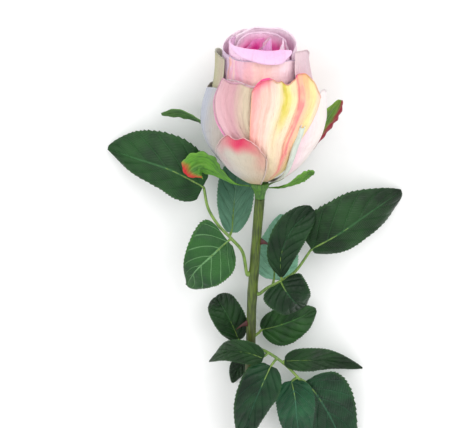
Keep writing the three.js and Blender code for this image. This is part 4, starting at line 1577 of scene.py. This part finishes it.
# ---------------------------------------------------------------- stem, stalks and thorns
class NodeTree:
    """A Geometry Nodes tree that is built node by node."""

    def __init__(self, name: str, sizes: dict[str, tuple[str, object]]) -> None:
        """Makes a tree with a geometry input and output and named sizes.

        Args:
            name: The tree's name.
            sizes: For each named input, its socket type and default.
        """
        self.tree = bpy.data.node_groups.new(name, "GeometryNodeTree")
        face = self.tree.interface
        face.new_socket("Geometry", in_out="INPUT", socket_type="NodeSocketGeometry")
        for title, (kind, value) in sizes.items():
            made = face.new_socket(title, in_out="INPUT", socket_type=kind)
            if value is not None:
                made.default_value = value
        face.new_socket("Geometry", in_out="OUTPUT", socket_type="NodeSocketGeometry")
        self.source = self.tree.nodes.new("NodeGroupInput")
        self.end = self.tree.nodes.new("NodeGroupOutput")

    def add(self, kind: str, settings: dict | None = None,
            inputs: dict | None = None) -> bpy.types.Node:
        """Adds a node.

        Args:
            kind: Its type.
            settings: Its own settings.
            inputs: Values or output sockets for its inputs, by name or number.

        Returns:
            The node.
        """
        node = self.tree.nodes.new(kind)
        for key, value in (settings or {}).items():
            setattr(node, key, value)
        for key, value in (inputs or {}).items():
            if isinstance(value, bpy.types.NodeSocket):
                self.tree.links.new(value, node.inputs[key])
            else:
                node.inputs[key].default_value = value
        return node

    def math(self, operation: str, *values: bpy.types.NodeSocket | float) -> bpy.types.NodeSocket:
        """Adds a Math node on up to three values."""
        made = self.add("ShaderNodeMath", {"operation": operation}, dict(enumerate(values)))
        return made.outputs[0]

    def close(self, geometry: bpy.types.NodeSocket) -> None:
        """Ends the tree in Realize Instances and Set Material.

        Args:
            geometry: What the tree has made.
        """
        real = self.add("GeometryNodeRealizeInstances", inputs={0: geometry})
        skin = self.source.outputs["Material"]
        dressed = self.add("GeometryNodeSetMaterial", inputs={0: real.outputs[0], "Material": skin})
        self.tree.links.new(dressed.outputs[0], self.end.inputs[0])

    def apply(self, start: bpy.types.Object, sizes: dict[str, object],
              name: str) -> bpy.types.Mesh:
        """Runs the tree on an object and keeps the result as a plain mesh.

        Args:
            start: The object to start from; it is removed.
            sizes: Values for the named inputs.
            name: The mesh's name.

        Returns:
            The mesh.
        """
        modifier = start.modifiers.new("shape", "NODES")
        modifier.node_group = self.tree
        for item in self.tree.interface.items_tree:
            if item.item_type == "SOCKET" and item.in_out == "INPUT" and item.name in sizes:
                modifier[item.identifier] = sizes[item.name]
        graph = bpy.context.evaluated_depsgraph_get()
        mesh = bpy.data.meshes.new_from_object(start.evaluated_get(graph), depsgraph=graph)
        mesh.name = name
        start.modifiers.clear()
        data = start.data
        bpy.data.objects.remove(start)
        if isinstance(data, bpy.types.Curve):
            bpy.data.curves.remove(data)
        else:
            bpy.data.meshes.remove(data)
        return mesh


def shoot_tree() -> NodeTree:
    """Builds the tree for round shoots.

    Returns:
        A tree that gives a curve a round section of the curve's own radii, closed ends and a
        bark relief.
    """
    tree = NodeTree("shoot", {
        "Sides": ("NodeSocketInt", 32),
        "Relief": ("NodeSocketFloat", 0.0001),
        "Grain": ("NodeSocketFloat", 300.0),
        "Material": ("NodeSocketMaterial", None),
    })
    ask = tree.source.outputs
    ring = tree.add("GeometryNodeCurvePrimitiveCircle",
                    inputs={"Resolution": ask["Sides"], "Radius": 1.0})
    width = tree.add("GeometryNodeInputRadius")
    tube = tree.add("GeometryNodeCurveToMesh", inputs={
        "Curve": ask["Geometry"], "Profile Curve": ring.outputs[0],
        "Scale": width.outputs[0], "Fill Caps": True,
    })
    noise = tree.add("ShaderNodeTexNoise", inputs={"Scale": ask["Grain"], "Detail": 2.0})
    rise = tree.math("MULTIPLY", tree.math("SUBTRACT", noise.outputs[0], 0.5), ask["Relief"])
    normal = tree.add("GeometryNodeInputNormal")
    push = tree.add("ShaderNodeVectorMath", {"operation": "SCALE"},
                    {0: normal.outputs[0], "Scale": rise})
    moved = tree.add("GeometryNodeSetPosition",
                     inputs={"Geometry": tube.outputs[0], "Offset": push.outputs[0]})
    tree.close(moved.outputs[0])
    return tree


def shoot(tree: NodeTree, name: str, points: Array, radii: Array, slot: str,
          material: bpy.types.Material, replaces: Sequence[str], sides: int,
          relief: float) -> None:
    """Makes one shoot with the shoot tree.

    Args:
        tree: The shoot tree.
        name: The piece's name.
        points: Its middle line in the rose's millimetres.
        radii: Its radius at each point.
        slot: The record's material slot.
        material: Its finish.
        replaces: The CAD nodes that it stands for.
        sides: How many sides its section has.
        relief: The bark's relief in millimetres.
    """
    curve = bpy.data.curves.new(name, "CURVE")
    curve.dimensions = "3D"
    curve.twist_mode = "MINIMUM"
    line = curve.splines.new("POLY")
    line.points.add(len(points) - 1)
    for place, (x, y, z), radius in zip(line.points, PLACE.to_row(points), radii):
        place.co = (x, y, z, 1.0)
        place.radius = radius / MM_PER_M
    start = bpy.data.objects.new(name + "_line", curve)
    bpy.context.scene.collection.objects.link(start)
    sizes = {"Sides": sides, "Relief": relief / MM_PER_M, "Grain": BARK_GRAIN, "Material": material}
    finished(tree.apply(start, sizes, name), name, material, replaces)


def thorn_tree() -> NodeTree:
    """Builds the tree for hooked thorns.

    Returns:
        A tree that puts a thorn on each point, turned and sized by the point's own numbers.
    """
    tree = NodeTree("thorns", {
        "Length": ("NodeSocketFloat", 0.007),
        "Base": ("NodeSocketFloat", 0.0015),
        "Hook": ("NodeSocketFloat", 0.0022),
        "Material": ("NodeSocketMaterial", None),
    })
    ask = tree.source.outputs
    cone = tree.add("GeometryNodeMeshCone", inputs={
        "Vertices": 20, "Side Segments": 14, "Fill Segments": 2, "Radius Top": THORN_POINT,
        "Radius Bottom": ask["Base"], "Depth": ask["Length"],
    })
    where = tree.add("GeometryNodeInputPosition")
    x, y, z = tree.add("ShaderNodeSeparateXYZ", inputs={0: where.outputs[0]}).outputs
    share = tree.math("DIVIDE", z, ask["Length"])
    bend = tree.math("MULTIPLY", tree.math("POWER", share, 2.0), ask["Hook"])
    thick = tree.math("MULTIPLY", x, THORN_FLATNESS)
    wide = tree.math("POWER", tree.math("SUBTRACT", 1.0, share), 1.5)
    deep = tree.math("SUBTRACT", tree.math("MULTIPLY_ADD", y, wide, y), bend)
    joined = tree.add("ShaderNodeCombineXYZ", inputs={0: thick, 1: deep, 2: z})
    hooked = tree.add("GeometryNodeSetPosition",
                      inputs={"Geometry": cone.outputs[0], "Position": joined.outputs[0]})
    facing = tree.add("GeometryNodeInputNamedAttribute", {"data_type": "FLOAT_VECTOR"},
                      {"Name": "facing"})
    size = tree.add("GeometryNodeInputNamedAttribute", {"data_type": "FLOAT"}, {"Name": "size"})
    placed = tree.add("GeometryNodeInstanceOnPoints", inputs={
        "Points": ask["Geometry"], "Instance": hooked.outputs[0],
        "Rotation": facing.outputs[0], "Scale": size.outputs[0],
    })
    tree.close(placed.outputs[0])
    return tree


@dataclass(frozen=True)
class Stalk:
    """A leaf stalk: where it leaves the stem, the places it passes and where it ends."""

    name: str
    start: float
    end: tuple[float, float, float]
    via: tuple[tuple[float, float, float], ...] = ()


@dataclass
class Stem:
    """The main stem with its cut end and thorns, and the leaf stalks.

    Thorns are a place along the stem and the angle at which they stand out from it.
    """

    radius: float = 2.5
    stalk_radius: float = 0.9
    thorns: tuple[tuple[float, float], ...] = ((-31, 25), (-77, 150), (-158, 60), (-186, 165))
    thorn_sizes: tuple[float, float, float] = (0.0072, 0.0010, 0.0026)
    knuckles: tuple[float, ...] = (-49, -60, -91)
    knuckle_rise: float = 0.22
    knuckle_reach: float = 3.5
    unevenness: float = 0.06
    floor_gaps: tuple[float, float] = (0.02, 0.06)
    stem_section: tuple[int, float] = (40, 0.14)  # sides, and the bark's relief
    stalk_section: tuple[int, float] = (16, 0.06)
    stalk_sunk: float = 0.3
    stalk_clear: float = 0.65
    thorn_sunk: float = 0.25
    stalk_steps: int = 14
    foot_swell: float = 0.45
    foot_reach: float = 0.08
    tip_loss: float = 0.22
    stalks: tuple[Stalk, ...] = (
        Stalk("stalk_a", -49, (-27, -3.5, -2),
              ((-7.5, -37, 1.5), (-13, -29, 4), (-20, -21.5, 3), (-25, -13, 1))),
        Stalk("stalk_b", -60, (26.8, -38.5, -3.5),
              ((5.5, -56.5, 2), (12, -52.5, 3), (19.5, -48, 0.5))),
        Stalk("stalk_c", -92.5, (-7.8, -91, -5.5)),
        Stalk("stalk_d", -86, (1.6, -85, -5.5)),
        Stalk("stalk_e", -90.5, (22.5, -107, 7.5),
              ((6, -92, 6.5), (11.5, -95, 9), (17, -100, 9))),
        Stalk("stalk_f", -95, (-3.2, -98, -6.2)),
    )
    cut_rings: tuple[tuple[float, float], ...] = (
        (0.5, 0.12), (1.0, 0.16), (1.6, 0.2), (2.1, 0.22), (2.3, 0.1), (2.3, -0.3),
    )
    cut_middle: float = 0.1
    cut_sides: int = 40

    def build(self) -> None:
        """Makes the stem, its cut face and thorns, and the stalks."""
        tree = shoot_tree()
        line = PLACE.stem_line()
        radii = np.full(len(line), self.radius)
        for y in self.knuckles:
            away = (line[:, 1] - y) / self.knuckle_reach
            radii = radii + self.knuckle_rise * np.exp(-(away**2))
        uneven = self.unevenness * ripple(line[:, 1] / 9, line[:, 1] / 5, 5)
        radii = np.minimum(radii, line[:, 2] - self.floor_gaps[0]) + uneven
        radii = np.minimum(radii, line[:, 2] - self.floor_gaps[1])
        bark = StemFinish(fresh="#54691a", shade="#2c3a10", brown="#3c2a16", brown_from=0.02,
                          brown_to=-0.06).material("stem_bark")
        shoot(tree, "stem_bark", line, radii, "stem", bark, ["stem"], *self.stem_section)
        skin = STALK_SKIN.material("stalk_skin")
        for stalk in self.stalks:
            points = self.stalk_line(stalk)
            share = np.linspace(0, 1, len(points))
            swell = self.foot_swell * np.exp(-((share / self.foot_reach) ** 2))
            radii = self.stalk_radius * (1.0 + swell - self.tip_loss * share)
            shoot(tree, stalk.name + "_skin", points, radii, "stalk", skin, [stalk.name],
                  *self.stalk_section)
        self.cut_face(line)
        self.spines()

    @classmethod
    def line_of(cls, leaflet: str) -> Array:
        """Finds the stalk that carries a leaflet.

        Args:
            leaflet: The leaflet's name, whose second word is its stalk's letter.

        Returns:
            The stalk's middle line.
        """
        stem = cls()
        name = "stalk_" + leaflet.split("_")[1]
        return stem.stalk_line(next(stalk for stalk in stem.stalks if stalk.name == name))

    def stalk_line(self, stalk: Stalk) -> Array:
        """Lays a stalk's middle line.

        Args:
            stalk: The stalk.

        Returns:
            Points from the stem's skin to the stalk's last leaflet.
        """
        inner = [PLACE.beside(place) for place in (*stalk.via, stalk.end)]
        root = PLACE.stem_at(stalk.start)
        leaving = inner[0] - root
        along = unit(PLACE.stem_at(stalk.start - 1) - PLACE.stem_at(stalk.start + 1))
        square = unit(leaving - along * np.dot(leaving, along))
        root = root + square * (self.radius - self.stalk_sunk)
        points = [root, root + square * (self.stalk_radius + self.stalk_clear), *inner]
        return spline(points, np.linspace(0, 1, self.stalk_steps * len(points)))

    def cut_face(self, line: Array) -> None:
        """Lays a pale, slightly hollow pith on the stem's cut end.

        Args:
            line: The stem's middle line.
        """
        end, way = line[-1], unit(line[-1] - line[-3])
        side = unit(np.cross(way, (0.0, 0.0, 1.0)))
        up = np.cross(side, way)
        sides, rings = self.cut_sides, self.cut_rings
        points, faces = [end + way * self.cut_middle], []
        for radius, lift in rings:
            for n in range(sides):
                angle = 2 * math.pi * n / sides
                out = side * math.cos(angle) + up * math.sin(angle)
                points.append(end + way * lift + radius * out)
        for n in range(sides):
            m = (n + 1) % sides
            faces.append((0, 1 + m, 1 + n))
            for ring in range(len(rings) - 1):
                a, b = 1 + ring * sides, 1 + (ring + 1) * sides
                faces.append((a + n, a + m, b + m, b + n))
        last = 1 + (len(rings) - 1) * sides
        points.append(end + way * rings[-1][1])
        faces += [(len(points) - 1, last + n, last + (n + 1) % sides) for n in range(sides)]
        mesh = bpy.data.meshes.new("stem_cut")
        mesh.from_pydata(PLACE.to_row(np.array(points)).tolist(), [], faces)
        pith = PlainFinish("#d8d8a4", "#a8b070", 1200.0, 0.8, 0.15)
        finished(mesh, "stem_cut", pith.material("stem_pith"))

    def facing(self, out: Array) -> tuple[float, float, float]:
        """Finds the turn that stands a thorn up with its hook towards the cut end.

        Args:
            out: The direction in which the thorn points.

        Returns:
            The turn as Euler angles.
        """
        ahead = np.array([0.0, 1.0, 0.0])
        y_axis = unit(ahead - out * np.dot(ahead, out))
        x_axis = np.cross(y_axis, out)
        m = np.stack([x_axis, y_axis, out], -1)
        return (
            math.atan2(m[2, 1], m[2, 2]),
            math.asin(max(-1.0, min(1.0, -m[2, 0]))),
            math.atan2(m[1, 0], m[0, 0]),
        )

    def thorn_points(self) -> bpy.types.Object:
        """Makes a point for each thorn.

        Returns:
            An object whose points hold which way each thorn faces and how big it is.
        """
        places, turns = [], []
        for y, turn in self.thorns:
            out = np.array([math.cos(math.radians(turn)), 0.0, math.sin(math.radians(turn))])
            places.append(PLACE.stem_at(y) + out * (self.radius - self.thorn_sunk))
            turns.append(self.facing(out))
        mesh = bpy.data.meshes.new("thorn_points")
        mesh.from_pydata(PLACE.to_row(np.array(places)).tolist(), [], [])
        held = mesh.attributes.new("facing", "FLOAT_VECTOR", "POINT")
        held.data.foreach_set("vector", np.array(turns).ravel().astype(np.float32))
        held = mesh.attributes.new("size", "FLOAT", "POINT")
        held.data.foreach_set("value", np.ones(len(places), np.float32))
        start = bpy.data.objects.new("thorn_points", mesh)
        bpy.context.scene.collection.objects.link(start)
        return start

    def spines(self) -> None:
        """Makes the thorns."""
        red = StemFinish(fresh="#4c100c", shade="#220504", brown="#380a08").material("thorn_skin")
        length, base, hook = self.thorn_sizes
        sizes = {"Length": length, "Base": base, "Hook": hook, "Material": red}
        mesh = thorn_tree().apply(self.thorn_points(), sizes, "stem_thorns")
        finished(mesh, "stem_thorns", red)


# ---------------------------------------------------------------- studio
@dataclass
class Studio:
    """A pale floor, soft light and the camera.

    Lamps are a place in metres, a power and a width.
    """

    floor_size: float = 6.0
    sky: float = 1.02
    lens: float = 95.79
    camera_place: tuple[float, float, float] = (-16.25, 140.32, 610.57)
    camera_pitch: float = -15.0
    sensor: float = 36.0
    sees: tuple[float, float] = (0.01, 20.0)
    aim: tuple[float, float, float] = (0.0, 0.05, 0.03)
    lamps: tuple[tuple[tuple[float, float, float], float, float], ...] = (
        ((0.6, 0.8, 1.05), 7.5, 1.1),
        ((-0.9, 0.3, 0.9), 3.5, 0.9),
    )

    def build(self) -> None:
        """Makes the floor, the light and the camera."""
        scene = bpy.context.scene
        scene.view_settings.view_transform = "Standard"
        self.floor()
        world = bpy.data.worlds.new("soft_room")
        world.use_nodes = True
        sky = world.node_tree.nodes["Background"].inputs
        sky["Color"].default_value = (1.0, 1.0, 1.0, 1.0)
        sky["Strength"].default_value = self.sky
        scene.world = world
        for number, (place, power, size) in enumerate(self.lamps):
            light = bpy.data.lights.new(f"softbox_{number}", "AREA")
            light.energy, light.size = power, size
            lamp = bpy.data.objects.new(light.name, light)
            lamp.location = place
            aim = np.array(self.aim) - np.array(place)
            yaw, flat = math.atan2(aim[0], aim[1]), math.hypot(aim[0], aim[1])
            lamp.rotation_euler = (math.atan2(flat, -aim[2]), 0.0, -yaw)
            scene.collection.objects.link(lamp)
        view = bpy.data.cameras.new("view")
        view.lens, view.sensor_width = self.lens, self.sensor
        view.clip_start, view.clip_end = self.sees
        camera = bpy.data.objects.new("view", view)
        camera.location = PLACE.to_row(np.array(self.camera_place))
        camera.rotation_euler = (math.radians(self.camera_pitch), 0.0, 0.0)
        scene.collection.objects.link(camera)
        scene.camera = camera

    def floor(self) -> None:
        """Makes the flat floor."""
        half = self.floor_size / 2
        mesh = bpy.data.meshes.new("floor")
        corners = [(-half, -half, 0.0), (half, -half, 0.0), (half, half, 0.0), (-half, half, 0.0)]
        mesh.from_pydata(corners, [], [(0, 1, 2, 3)])
        paper = PlainFinish("#f6f6f6", "#f3f3f3", 40.0, 0.9, 0.01)
        mesh.materials.append(paper.material("floor_paper"))
        floor = bpy.data.objects.new("floor", mesh)
        bpy.context.scene.collection.objects.link(floor)


def main() -> None:
    """Builds the rose piece by piece."""
    logging.basicConfig(level=logging.INFO, format="%(name)s: %(message)s")
    for part in (Bud(), Calyx(), Stem(), Foliage(), Studio()):
        part.build()


if __name__ == "__main__":
    main()
